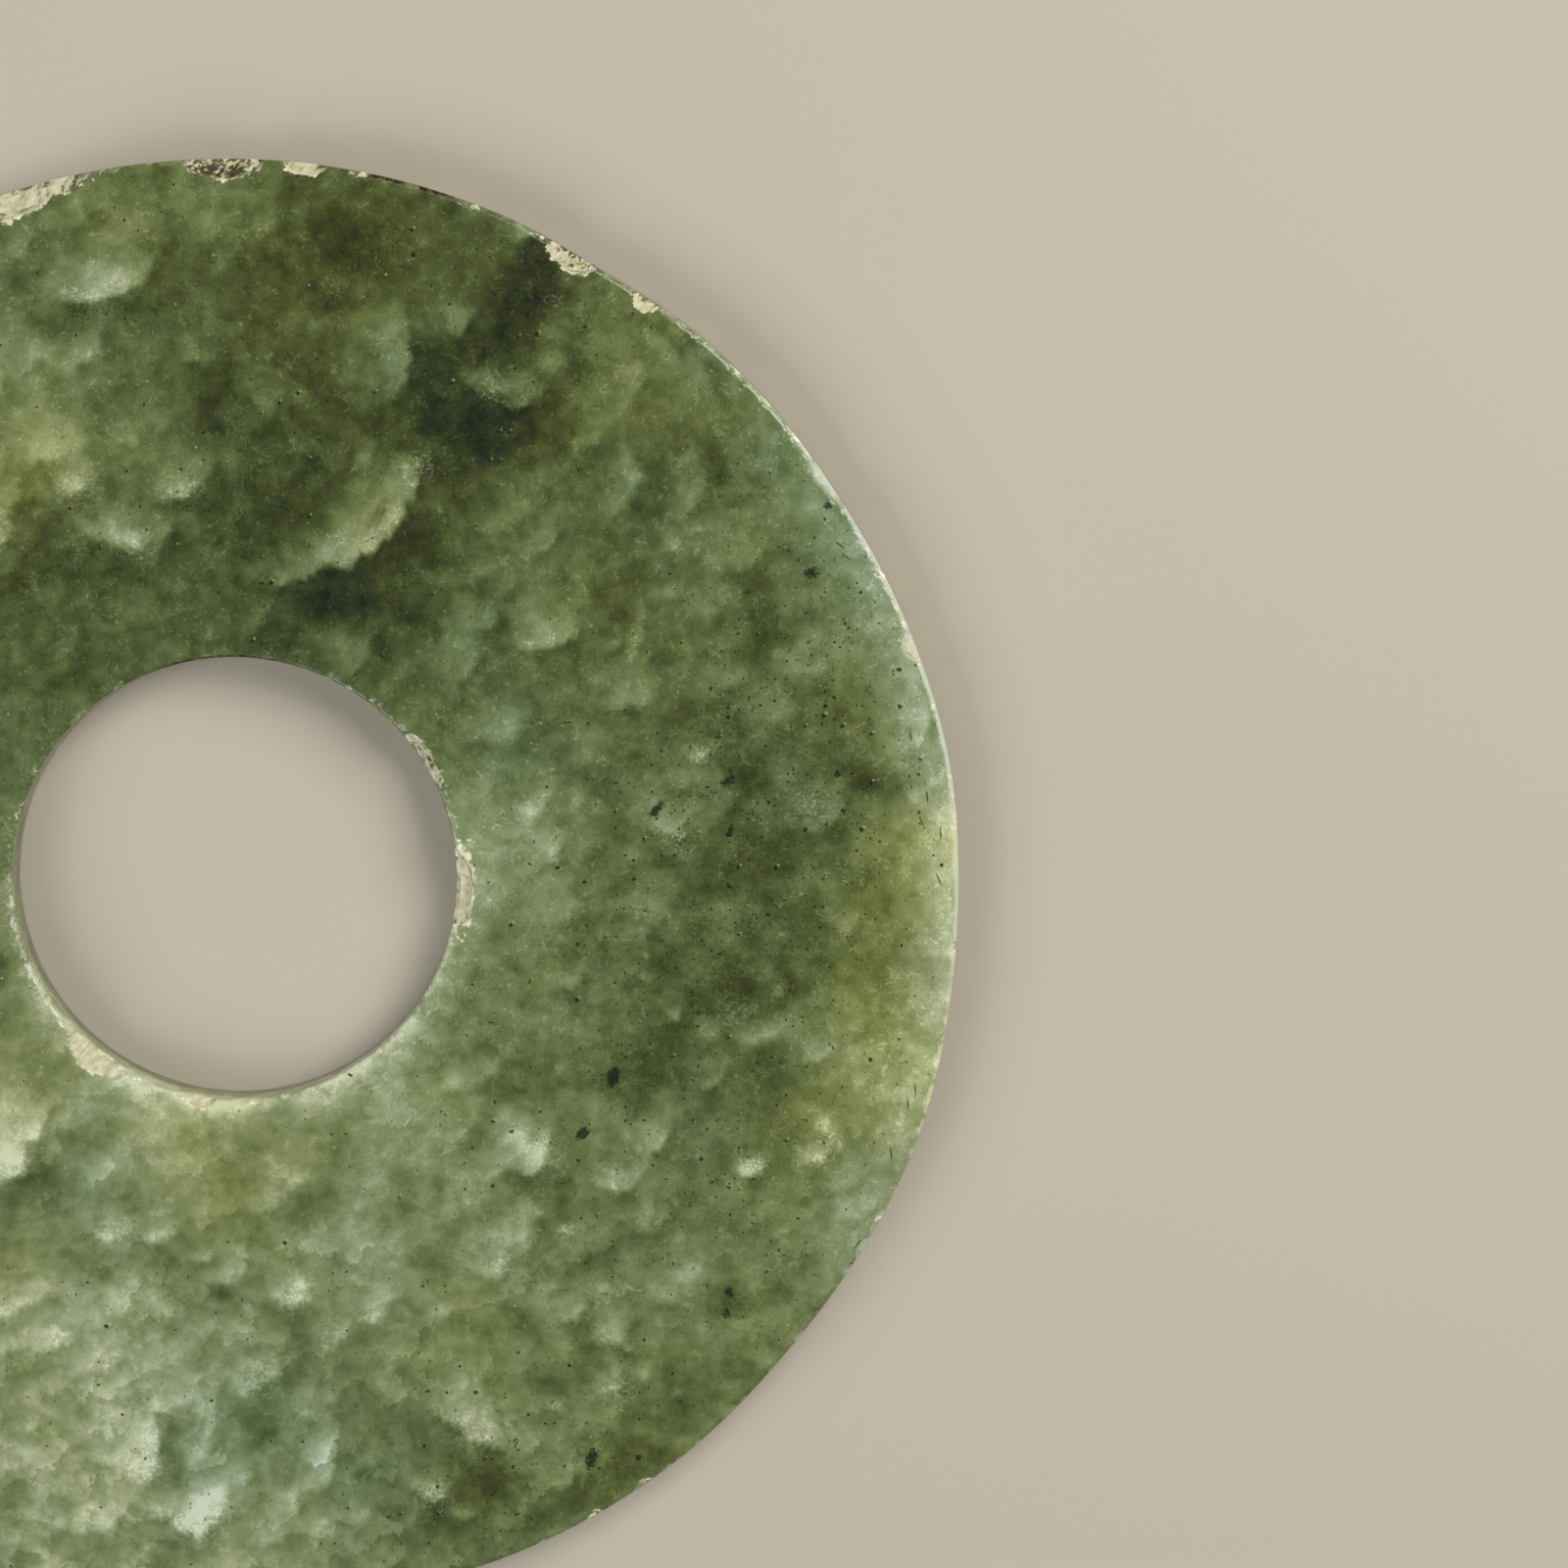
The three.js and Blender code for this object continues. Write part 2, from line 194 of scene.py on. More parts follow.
    (15.9, -39.8, 1.5, 2.6, -54, 0.5), (13.6, -41.6, 1.7, 1.3, -82, 0.5), (9.9, -55.6, 2, 2, -22, 0.46),
    (8.6, -57.8, 1.2, 1.4, -66, 0.34), (1.2, -56.8, 1, 1.3, -50, 0.34), (6.4, -59.4, 0.9, 1.4, -60, 0.34),
    (8.8, -62, 1.3, 1.6, -60, 0.34), (4.2, -62.8, 1.6, 1.6, -66, 0.34), (10.1, -48.8, 1, 1.4, -60, 0.34),
    (21.4, -51.4, 1.9, 2.6, -112, 0.56), (23.9, -53.6, 1.9, 2.4, -128, 0.5),
    (25.4, -51.4, 2.4, 1.3, -10, 0.34), (19.2, -58.9, 1.5, 1.8, -86, 0.5),
    (22.6, -60.9, 0.9, 0.9, -80, 0.38), (16.2, -46.4, 1.2, 1.2, -60, 0.3),
    (19.2, -45, 1.3, 1.1, -60, 0.2), (21.8, -49, 2, 2, -60, 0.26), (-18.6, -33.2, 1.6, 1.6, -60, 0.2),
    (-2, -42.4, 1, 1.1, -60, 0.3), (13.6, -31, 1.6, 1.8, -60, 0.18), (18.6, -34.8, 2.2, 2, -54, 0.2),
    (21.6, -40.6, 2.2, 1.8, -60, 0.18), (-10, -59.4, 1.6, 1.6, -60, 0.28),
    (12.8, -36.8, 1.6, 1.8, -50, 0.24), (-15.4, -47.8, 2, 1.8, -60, 0.26),
    (-20.4, -56, 2, 2.2, -60, 0.34), (-15, -53.6, 2.2, 1.8, -60, 0.28), (12.6, -61, 1.8, 1.8, -50, 0.26),
    (-8.6, -64.6, 2, 1.6, -60, 0.4), (15.4, -66, 2, 1.8, -50, 0.3), (-1, -66.6, 2.4, 1.8, -70, 0.44),
    (-17, -66.4, 2, 1.8, -60, 0.42),
]

# Dark patches, soft all round: x, y, half length, half width, lean, and how dark
SHADES = [
    (28.6, 56.8, 5.4, 2.9, 62, 0.86), (30.4, 60.4, 2, 1.8, 50, 0.55), (22.6, 44.6, 3.6, 3, -20, 0.8),
    (20.4, 48.4, 4.2, 1.6, 58, 0.5), (25.4, 52.4, 2.6, 2.2, 40, 0.5), (25.8, 43.6, 2, 2.6, 0, 0.4),
    (-1, 47.8, 3.8, 2, 70, 0.55), (-0.6, 44.6, 1.8, 1.8, 0, 0.35), (3, 60.4, 3, 2.6, 30, 0.3),
    (12, 61.4, 3.4, 5, 20, 0.42), (10, 56.6, 3.2, 2.2, 30, 0.25), (-14.6, 55, 3.4, 1.2, 16, 0.34),
    (-6.8, 56.6, 1.8, 1, 20, 0.3), (-12, 46, 1.6, 1.2, 40, 0.24), (-16.6, 54.4, 2.2, 1.6, 50, 0.24),
    (-18.4, 36.8, 1.6, 1.4, 0, 0.22), (32.8, 51.8, 1.5, 2.6, 10, 0.22), (32.2, 43.6, 1.8, 1.4, 20, 0.24),
    (14.8, 36.4, 1.6, 0.8, 72, 0.62), (17.6, 57.4, 1.8, 1.6, 30, 0.24), (41.4, 38, 4.6, 1.6, 78, 0.3),
    (24, 38.6, 2, 1.6, 40, 0.24), (46.8, 41.4, 2.6, 2, 70, 0.26), (18.6, 33.4, 2.6, 1.8, 40, 0.36),
    (2.8, 32.3, 1.3, 0.7, -8, 0.5), (8.8, 27.4, 3.8, 2.6, 30, 0.58), (4.6, 24.6, 1.8, 1, 0, 0.46),
    (12.6, 27.6, 1.8, 2.6, 20, 0.4), (-15, 31.2, 2.6, 1.4, 0, 0.26), (-8, 30.8, 3.2, 1, 0, 0.26),
    (7.2, 37.6, 2.6, 3, 30, 0.34), (-14.4, 20.8, 2.2, 1.6, 40, 0.32), (-17, 34.4, 1.6, 2.4, 20, 0.22),
    (12, 37.6, 1.8, 1.8, 30, 0.26), (37.6, 27.6, 4.6, 1.9, 80, 0.34), (27.2, 26.8, 3, 0.9, 66, 0.28),
    (42.4, 23.4, 1.9, 2.2, 10, 0.24), (43.8, 17.6, 3.8, 1.9, 10, 0.32), (50.4, 27.4, 1.9, 2.4, 20, 0.46),
    (49.6, 11.4, 2.1, 1.8, 20, 0.66), (51.6, 24, 1.8, 1.8, 0, 0.28), (28.2, 9.6, 1.8, 1.3, 30, 0.26),
    (60.4, 10.8, 1.9, 1.4, 30, 0.5), (64.4, 10.6, 1.5, 0.8, 10, 0.34), (58.4, 12.6, 1.4, 1.6, 0, 0.24),
    (36.8, 8.6, 2.2, 3.4, 10, 0.2), (53.6, 4.6, 3.4, 2.6, 20, 0.24), (46.4, 1.8, 3, 2.4, 10, 0.2),
    (39.4, -16.6, 3, 2.4, 30, 0.26), (51.6, -17.4, 2.2, 1.9, 20, 0.38), (28.4, -17.6, 3.4, 1.8, 30, 0.24),
    (25.4, -14.2, 2.4, 1.2, 20, 0.2), (48.8, -9.6, 3.4, 2.2, -10, 0.46), (54, -8.8, 1.2, 1.4, 0, 0.4),
    (42.4, -6.4, 1.9, 1.8, 10, 0.36), (43.4, -18.6, 1.8, 1.8, 0, 0.24), (45.4, -3, 0.9, 1.2, 0, 0.5),
    (56.2, -3.6, 1.6, 2, 30, 0.28), (50.4, -4.6, 2.4, 2.4, 0, 0.24), (39, -20.6, 2, 1.6, 0, 0.2),
    (48, -39.6, 1.4, 2.2, 10, 0.42), (28.4, -42.2, 1.9, 1.5, -30, 0.34), (17.6, -52.8, 2.4, 3, 20, 0.26),
    (31.6, -36.8, 3, 1.9, 20, 0.26), (31, -47.6, 2.2, 1.9, 30, 0.26), (43.4, -49.6, 2.4, 1.8, 30, 0.26),
    (24.6, -58.2, 2.2, 1.8, 20, 0.34), (19.2, -60.8, 1.9, 1.4, 20, 0.3),
    (35.6, -56.4, 4.2, 2.2, 30, 0.34), (30.8, -60.4, 3.2, 1.8, 28, 0.3), (40.6, -53.6, 3.2, 2, 36, 0.34),
    (47, -46.2, 3, 2.2, 46, 0.28), (3, -51.4, 2.4, 3.4, 8, 0.4), (-5.4, -55.2, 1.4, 3.6, 4, 0.36),
    (-18, -27.8, 2.2, 2.6, 30, 0.34), (-14, -24.8, 2.6, 1.3, 20, 0.26),
    (-12.8, -36.2, 2.4, 1.5, 20, 0.22), (-5.8, -36.4, 1.7, 1.5, 20, 0.22),
    (7.4, -43.6, 2.4, 2.4, -30, 0.34), (-8.2, -63.2, 3, 1.4, 10, 0.3), (-1.2, -38.9, 0.9, 0.8, -30, 0.48),
    (7.6, -30.4, 2.6, 1.2, 36, 0.22), (15.6, -30.6, 1.8, 2.6, 0, 0.2), (5, -46.8, 2.8, 1.3, 30, 0.26),
    (34.6, -45.4, 1.6, 1.8, 0, 0.18), (25, -23.4, 1.4, 1.6, 40, 0.2), (-9.4, -29, 2.8, 1.4, 10, 0.2),
    (43.6, -29.4, 2.8, 1.4, 20, 0.2), (54.6, -36.4, 2.6, 2, 40, 0.18), (12.6, -47.4, 1.8, 2.6, 10, 0.2),
]

# Broad drifts of lightness: x, y, radius, rise
DRIFTS = [
    (-14, -50, 26, 0.17), (22, -30, 20, 0.05), (6, 56, 24, -0.1), (50, -4, 15, -0.05),
    (13, 37, 13, -0.09), (24, 2, 8, 0.08), (38, 42, 16, 0.02), (-14, 30, 12, -0.07), (-60, 10, 26, 0.05),
    (10, -26, 10, 0.06), (12, -46, 42, 0.08), (-21, 44, 9, 0.17), (24, 50, 10, -0.08), (36, 44, 8, -0.07),
    (6, 26, 9, -0.09), (27, 4, 8, 0.15), (60, -16, 6, 0.16), (67, -4, 8, 0.09), (-6, -23, 7, 0.13),
    (-20, -8, 10, 0.09), (44, -15, 5, -0.15), (23, -57, 4, -0.14), (4, -65, 6, 0.12), (57, -30, 7, 0.08),
    (16, -21, 6, 0.09), (-18, 65, 8, 0.06), (16, 26, 5, -0.09), (5, 33, 4, -0.08), (37, 16, 4, 0.06),
    (42, -42, 11, 0.07), (64, -18, 7, 0.13), (67, 6, 6, 0.15), (-12, -24, 7, 0.1), (-1, 65, 9, 0.08),
    (62, 26, 8, 0.05), (-14, 44, 8, 0.07), (-18, -38, 10, 0.07), (-7, -60, 12, 0.06), (26, 47, 5, -0.1),
    (56, 39, 8, 0.04),
]

# Drifts of hue: x, y, radius, and lean towards yellow above 0 or towards blue below 0
HUES = [
    (11, 60, 13, 0.9), (1, 48, 5, 0.5), (36, 50, 8, 0.5), (45, 47, 6, 0.7), (65, 5, 7, 1),
    (61, 17, 6, 0.6), (57, -21, 7, 0.9), (2, -25, 9, 0.7), (-20, -36, 5, 0.7), (38, 27, 5, 0.5),
    (-20, 39, 6, 1), (-9, 63, 7, 0.6), (31, 25, 4, 0.5), (63, -4, 6, 1), (62, -12, 5, 0.6),
    (15, 36, 5, 0.6), (50, 32, 5, 0.4), (-12, 43, 7, 0.3), (-16, -55, 7, 0.4), (24, -43, 6, 0.4),
    (40, -48, 6, 0.4), (52, -32, 5, 0.4), (24, -58, 5, 0.5), (38, -56, 5, 0.5), (46, -12, 8, 0.3),
    (17, 51, 5, -0.8), (3, -52, 6, -0.9), (-5, -55, 4, -0.6), (25, 26, 5, -0.5), (27, 15, 5, -0.6),
    (39, 39, 4, -0.7), (60, 34, 6, -0.9), (67, 16, 6, -0.8), (45, -17, 5, -0.5), (52, -14, 3, -0.6),
    (61, -30, 5, -0.6), (-13, -28, 7, -0.6), (15, -55, 7, -0.5), (31, -38, 5, -0.5), (8, 27, 5, -0.6),
    (23, 44, 4, -0.5), (48, 12, 5, -0.4), (46, 50, 4, -0.7), (53, 42, 4, -0.6), (22, 22, 5, -0.4),
    (2, 49, 3, -0.3), (-13, 57, 3, -0.5), (57, -14, 3, -0.5), (30, -25, 4, -0.3), (12, -31, 5, -0.3),
    (56, 8, 4, -0.5), (-20, -20, 8, 0.8), (-8, -24, 7, 0.5), (64, -19, 6, 0.6), (20, 56, 5, -0.4),
    (2, 46, 5, -0.4),
]

# Black mineral blotches: x, y, half length, half width, lean, and how black
BLOTCHES = [
    (36.9, -17.7, 1.35, 0.75, 80, 1), (33.9, -23.2, 1.05, 0.62, 42, 1), (41.1, 8.1, 1.6, 0.6, 48, 0.8),
    (48.1, 6, 1.3, 0.5, 70, 0.8), (47.9, 10.8, 1.3, 0.8, 24, 0.75), (55.9, 30.8, 1.1, 0.8, 10, 0.8),
    (57.4, 37.2, 0.6, 0.5, 0, 0.8), (50.2, 34, 1, 0.5, 80, 0.6), (58.4, 11.6, 0.6, 0.5, 0, 0.9),
    (55.3, 26.3, 0.5, 0.4, 0, 0.7), (50.5, 28.2, 1.2, 0.6, 60, 0.5), (51.2, 24.2, 1, 0.5, 60, 0.6),
    (45.2, -2.8, 0.6, 0.6, 0, 0.6), (42.8, -7.3, 1, 0.5, 20, 0.6), (54, -8.5, 0.7, 0.5, 70, 0.6),
    (48, -38.7, 0.8, 0.55, 90, 0.9), (47.8, -40.7, 0.7, 0.5, 90, 0.9), (34.7, -54.9, 1.3, 0.6, 72, 1),
    (36.8, -54.8, 0.6, 0.4, -30, 0.8), (39.2, -54.8, 0.45, 0.45, 0, 0.9), (32, -55.6, 0.35, 0.3, 0, 0.8),
    (27.4, -53.3, 1.3, 0.35, 85, 0.7), (27.3, -60.3, 0.7, 0.6, 0, 0.7), (38, -53.6, 0.5, 0.35, 0, 0.6),
    (16.9, -53.4, 0.35, 0.3, 0, 0.6), (-1.2, -38.7, 0.6, 0.45, -30, 0.7),
    (-4.4, -57.3, 0.7, 0.3, 90, 0.7), (22.6, -28.4, 0.35, 0.3, 30, 0.9), (39, 1.5, 0.5, 0.3, 30, 0.8),
    (44.5, 2.7, 0.6, 0.5, 0, 0.5), (62.6, 4.4, 0.9, 0.5, 80, 0.6), (28.6, -6.5, 0.8, 0.6, 0, 0.4),
    (49.2, -34.8, 0.5, 0.4, 0, 0.6), (52, -37, 1, 0.5, 10, 0.5), (53.2, -2.1, 0.4, 0.35, 0, 0.9),
    (48.9, -3.2, 0.5, 0.5, 0, 0.6), (61.5, 26.8, 0.9, 0.7, 0, 0.5), (31.4, 59.4, 0.6, 0.4, 0, 0.5),
    (46.8, 4.4, 0.4, 0.4, 0, 0.4), (-17.6, -63.3, 0.3, 0.3, 0, 0.7), (12, 30.9, 0.8, 0.5, 10, 0.55),
    (33.4, -42.2, 0.4, 0.3, 60, 0.5),
]

# Where black pinpoints are thickly sown: x, y, radius, thickness
PEPPER = [
    (54, 14, 12, 0.9), (48, -5, 13, 1), (54, 30, 8, 0.6), (44, 14, 9, 0.6), (30, 54, 7, 0.7),
    (24, 43, 5, 0.6), (45, -22, 12, 0.35), (30, -22, 12, 0.3), (35, -50, 12, 0.5), (52, -37, 6, 0.5),
    (8, 30, 6, 0.4), (58, 20, 8, 0.6), (38, 0, 9, 0.3), (-2, -45, 20, 0.12), (0, 40, 24, 0.1),
    (20, -58, 10, 0.3),
]

# Patches of tiny white crystals: x, y, radius, whiteness
CRYSTALS = [
    (-12.4, 57, 2.4, 0.3), (-4.4, 39.2, 1.9, 0.6), (-14, 38.8, 2, 0.6), (43.2, 5.2, 0.9, 1),
    (50.4, -26.3, 1, 1), (51.5, -25.9, 0.6, 1), (57.2, -25.4, 1.3, 0.8), (57.7, -23.2, 0.8, 0.8),
    (45.3, 13.6, 1, 0.8), (6.4, -38.7, 1.7, 0.9), (2.5, -47.4, 1.9, 0.7), (-8.6, -55.6, 1.9, 0.8),
    (-3, -61, 2.4, 0.8), (19.4, -58.6, 1.6, 0.9), (32.5, -33, 0.9, 0.9), (-11.4, -33, 1.7, 0.6),
    (26.2, -36.2, 1.2, 0.8), (37, -48, 1.6, 0.8), (22.4, -52.2, 2, 0.5), (9.6, -42.6, 1.6, 0.6),
    (30.8, -25.4, 1.6, 0.5), (25.4, 48.2, 1.1, 0.8), (18.9, 41, 1.2, 0.9), (31.4, 56.4, 1, 0.7),
    (48.6, -11.2, 1.3, 0.7), (56, 8.8, 2.2, 0.6), (60.2, 14, 1.4, 0.3), (-7.6, 32.6, 1.4, 0.3),
    (10.4, 58, 1.2, 0.4), (43.1, 33.6, 0.8, 0.7), (36.6, -43.2, 1.2, 0.6), (13.8, -41, 1.4, 0.5),
]

# Dark needles in the stone, each lot with the direction it lies in, in degrees from +X
NEEDLES = {
    -84: [(67.0, 9.3), (68.3, 5.8), (65.4, 15.2), (65.9, -19.0), (65.2, -20.4), (63.6, -25.2)],
    -67: [(66.5, 6.8), (68.1, 1.4)],
    -38: [(58.6, 33.4), (59.2, 32.3)],
    54: [(60.4, -34.0)],
    6: [(32.6, 16.4)],
}
NEEDLE_LENGTH = 1.3
NEEDLE_WIDTH = 0.14
NEEDLE_DEPTH = 2

# Single dots: x, y, radius
DOTS = [
    (-9.3, 64.2, 0.16), (-17.6, 59.2, 0.13), (-14, 53.3, 0.14), (-17.8, 46.5, 0.13), (-9.3, 40.4, 0.14),
    (-10.1, 32.5, 0.13), (18.1, 60.9, 0.26), (61.6, -16.1, 0.22), (68.4, 2.7, 0.2), (-2, -49.3, 0.18),
]

# The mesh's fineness
FACE_STEP = 0.53  # between neighbouring points of the front face
NEAR_HOLE = 2.1  # how far the finer rings round the hole reach
NEAR_HOLE_STEP = 0.3
NEAR_RIM_RINGS = 12
NEAR_RIM_STEP = 0.25
BACK_STEP = 1.6
BACK_NEAR_RIM = 3.1
BACK_NEAR_RIM_STEP = 0.5
BACK_NEAR_HOLE = 1.5
RIM_POINTS = 1440
WALL_POINTS = 960
BACK_RIM_POINTS = 720
HOLE_POINTS = 480
BACK_HOLE_POINTS = 240
ROUNDING_RINGS = 3
RIM_WALL_RINGS = 8
HOLE_WALL_RINGS = 9
FACE_WIDTH = RIM_RADIUS - RIM_ROUNDING - HOLE_RADIUS - HOLE_ROUNDING  # the flat of a face
SKIN = 0.015  # the finished surface lies this far inside the solid's outline
LATTICE = 48  # side of the table of random values behind the noise

# How many marks are strewn at random
FRONT_NIBBLES = 420
BACK_NIBBLES = 90
HOLE_NIBBLES = 80
UNSEEN_CLOUDS = 150
UNSEEN_SHADES = 46
BACK_CLOUDS = 260


def lattice_noise(points, grain, seed):
    """Smooth noise from -1 to 1 at each point, with features about grain across."""
    table = np.random.RandomState(seed).uniform(-1, 1, (LATTICE, LATTICE, LATTICE))
    place = points / grain + 17.3 * (seed % 11)
    cell = np.floor(place).astype(int)
    part = place - cell
    part = part * part * (3 - 2 * part)
    total = np.zeros(len(points))
    for corner in itertools.product((0, 1), repeat=3):
        index = (cell + corner) % LATTICE
        weight = np.prod(np.where(corner, part, 1 - part), axis=1)
        total += weight * table[index[:, 0], index[:, 1], index[:, 2]]
    return total


def layered_noise(points, grain, seed, layers=4):
    """Noise with finer and fainter noise laid over it, from about -1 to 1."""
    total = np.zeros(len(points))
    for layer in range(layers):
        total += lattice_noise(points, grain / 2**layer, seed + layer) / 2**layer
    return total / 1.4


def smooth(value):
    """0 below 0 and 1 above 1, with a soft rise between."""
    value = np.clip(value, 0, 1)
    return value * value * (3 - 2 * value)


def bump(bearing, middle, span):
    """1 at a bearing in degrees, and falling off over a span of degrees to each side."""
    away = (bearing - middle + 180) % 360 - 180
    return np.exp(-((away / span) ** 2))


def rim_radius(bearing):
    """The rim's distance from the middle of the disc, for bearings in radians."""
    radius = np.full(np.shape(bearing), float(RIM_RADIUS))
    for middle, rise, span in RIM_SWELLINGS:
        radius += rise * bump(np.degrees(bearing), middle, span)
    return radius


class Ring:
    """One closed loop of points round the disc, at one place on its section.

    share is 0 at the hole's outline and 1 at the rim's, inset is how far the loop lies in from that
    outline, and eats is how far a chip there works down, against sideways, from 1 on a face to 0 on a wall.
    """

    def __init__(self, share, inset, height, count, eats, part):
        self.share = share
        self.inset = inset
        self.height = height
        self.count = count
        self.eats = eats
        self.part = part

    def places(self):
        bearing = np.arange(self.count) / self.count * 2 * math.pi
        way = np.stack([np.cos(bearing), np.sin(bearing)], axis=1)
        hole_inset = rim_inset = self.inset
        if 0 < self.share < 1:
            hole_inset, rim_inset = HOLE_ROUNDING, RIM_ROUNDING
        hole_reach = np.interp(
            self.height,
            [0, HOLE_WAIST_HEIGHT, THICKNESS],
            [BACK_HOLE_RADIUS, HOLE_WAIST_RADIUS, HOLE_RADIUS],
        )
        hole = HOLE_MIDDLE + way * (hole_reach + SKIN + hole_inset)
        rim = way * (rim_radius(bearing) - SKIN - rim_inset)[:, None]
        flat = hole * (1 - self.share) + rim * self.share
        return np.column_stack([flat, np.full(self.count, float(self.height))])

    def unrolled(self):
        """How much further out the map draws the ring than it is in plan."""
        fall = THICKNESS - self.height
        return {"front": 0, "rim": fall, "back": 0, "hole": -fall}[self.part]


def rounding(share, size, face, wall, count, part):
    """The rings of a worn edge, from the face to the wall."""
    rings = []
    for step in range(1, ROUNDING_RINGS + 1):
        turn = step / (ROUNDING_RINGS + 1) * math.pi / 2
        inset = size * (1 - math.sin(turn))
        height = face + (wall - face) * (1 - math.cos(turn))
        rings.append(Ring(share, inset, height, count, math.cos(turn), part))
    return rings


def face_rings(height, steps, counts, part):
    """Rings over a flat face, at these distances from the hole's rounding."""
    rings = []
    for distance, count in zip(steps, counts):
        share = min(max(distance / FACE_WIDTH, 0), 1)
        inset = {0: HOLE_ROUNDING, 1: RIM_ROUNDING}.get(share, 0)
        rings.append(Ring(share, inset, height, count, 1, part))
    return rings


def around(distances, step):
    """How many points go round each of these rings of a face."""
    return [round(2 * math.pi * (HOLE_RADIUS + distance) / step) for distance in distances]


def section():
    """Every ring of the disc, once round its section: front face, rim, back face and hole."""
    near_hole = np.arange(0, NEAR_HOLE, NEAR_HOLE_STEP)
    near_rim = FACE_WIDTH - np.arange(NEAR_RIM_RINGS, -1, -1) * NEAR_RIM_STEP
    between_count = round((near_rim[0] - NEAR_HOLE) / FACE_STEP) + 1
    between = np.linspace(NEAR_HOLE, near_rim[0], between_count)[:-1]
    steps = [*near_hole, *between, *near_rim]
    counts = [HOLE_POINTS] * len(near_hole) + around(between, FACE_STEP) + [RIM_POINTS] * len(near_rim)
    rings = face_rings(THICKNESS, steps, counts, "front")

    rings += rounding(1, RIM_ROUNDING, THICKNESS, THICKNESS - RIM_ROUNDING, RIM_POINTS, "rim")
    for height in np.linspace(THICKNESS - RIM_ROUNDING, RIM_ROUNDING, RIM_WALL_RINGS):
        count = RIM_POINTS if height > THICKNESS / 2 + 1.5 else WALL_POINTS
        rings.append(Ring(1, 0, height, count, 0, "rim"))
    rings += rounding(1, RIM_ROUNDING, 0, RIM_ROUNDING, WALL_POINTS, "rim")[::-1]

    near_rim = FACE_WIDTH - np.arange(0, BACK_NEAR_RIM, BACK_NEAR_RIM_STEP)
    between_count = round((near_rim[-1] - BACK_NEAR_HOLE) / BACK_STEP) + 1
    between = np.linspace(near_rim[-1], BACK_NEAR_HOLE, between_count)[1:]
    steps = [*near_rim, *between, BACK_NEAR_HOLE / 2, 0]
    counts = [BACK_RIM_POINTS] * len(near_rim) + around(between, BACK_STEP) + [BACK_HOLE_POINTS] * 2
    rings += face_rings(0, steps, counts, "back")

    rings += rounding(0, HOLE_ROUNDING, 0, HOLE_ROUNDING, HOLE_POINTS, "hole")
    for height in np.linspace(HOLE_ROUNDING, THICKNESS - HOLE_ROUNDING, HOLE_WALL_RINGS):
        rings.append(Ring(0, 0, height, HOLE_POINTS, 0, "hole"))
    mouth = rounding(0, HOLE_ROUNDING, THICKNESS, THICKNESS - HOLE_ROUNDING, HOLE_POINTS, "hole")
    return rings + mouth[::-1]


def strip(first, first_count, second, second_count):
    """Triangles between two rings, whose points start at these numbers."""
    faces = []
    a = b = 0
    while a < first_count or b < second_count:
        here, there = first + a % first_count, second + b % second_count
        if (a + 1) * second_count <= (b + 1) * first_count and a < first_count:
            a += 1
            faces.append((here, there, first + a % first_count))
        else:
            b += 1
            faces.append((here, there, second + b % second_count))
    return faces


def scoop(points, moves, chip, edge, height, outward):
    """Moves the points inside a chip onto the bowl that it left. Returns how much of each point is chip."""
    bearing, length, reach, depth = chip[:4]
    way = np.array([math.cos(math.radians(bearing)), math.sin(math.radians(bearing))])
    middle = edge(math.radians(bearing))
    away = points[:, :2] - middle
    inward = away @ way * -outward
    along = away @ np.array([-way[1], way[0]])
    below = np.abs(points[:, 2] - height)
    near = np.flatnonzero((np.abs(along) < length) & (np.abs(inward) < 3 * reach) & (below < 3 * depth))
    if len(near) == 0:
        return np.zeros(len(points))
    rough = 1 + 0.2 * layered_noise(points[near] * [1, 1, 0.5], 1.4, 5, 3)
    side, down = reach * rough, depth * rough
    u, v, w = inward[near] / side, along[near] / (length / 2), below[near] / down
    inside = u * u + v * v + w * w
    step_in = np.sqrt(1 - moves[near] ** 2) / side
    step_down = moves[near] / down
    a = step_in**2 + step_down**2
    b = u * step_in + w * step_down
    travel = (-b + np.sqrt(np.maximum(b * b - a * (inside - 1), 0))) / a
    travel = np.where(inside < 1, np.maximum(travel, 0), 0)
    flat = travel * np.sqrt(1 - moves[near] ** 2)
    points[near, :2] -= flat[:, None] * way * outward
    points[near, 2] += travel * moves[near] * (1 if height == 0 else -1)
    chipped = np.zeros(len(points))
    chipped[near] = smooth((1.3 - (u / 1.1) ** 2 - v * v - (w / 1.5) ** 2) / 0.75)
    return chipped


def on_rim(bearing):
    return rim_radius(np.array(bearing)) * np.array([math.cos(bearing), math.sin(bearing)])


def on_hole(bearing):
    return HOLE_MIDDLE + HOLE_RADIUS * np.array([math.cos(bearing), math.sin(bearing)])


def small_chips(count, seed, likely, longest):
    """Nibbles along an edge: likely says how common they are at a bearing in degrees, from 0 to 1."""
    random = np.random.RandomState(seed)
    chips = []
    while len(chips) < count:
        bearing = random.uniform(0, 360)
        size = random.uniform(0, 1) ** 2
        if random.uniform(0, 1) < likely(bearing):
            length, reach, depth = 0.4 + longest * size, 0.16 + 0.42 * size, 0.16 + 0.34 * size
            chips.append((bearing, length, reach, depth, 0.32 * size, 0.1))
    return chips


def rim_wear(bearing):
    """Most nibbles are from the right of the rim over its top."""
    return 0.22 + 0.78 * bump(bearing, 40, 55)


def hole_wear(bearing):
    """Most nibbles are at the lower left of the hole."""
    return 0.3 + 0.7 * bump(bearing, 225, 60)


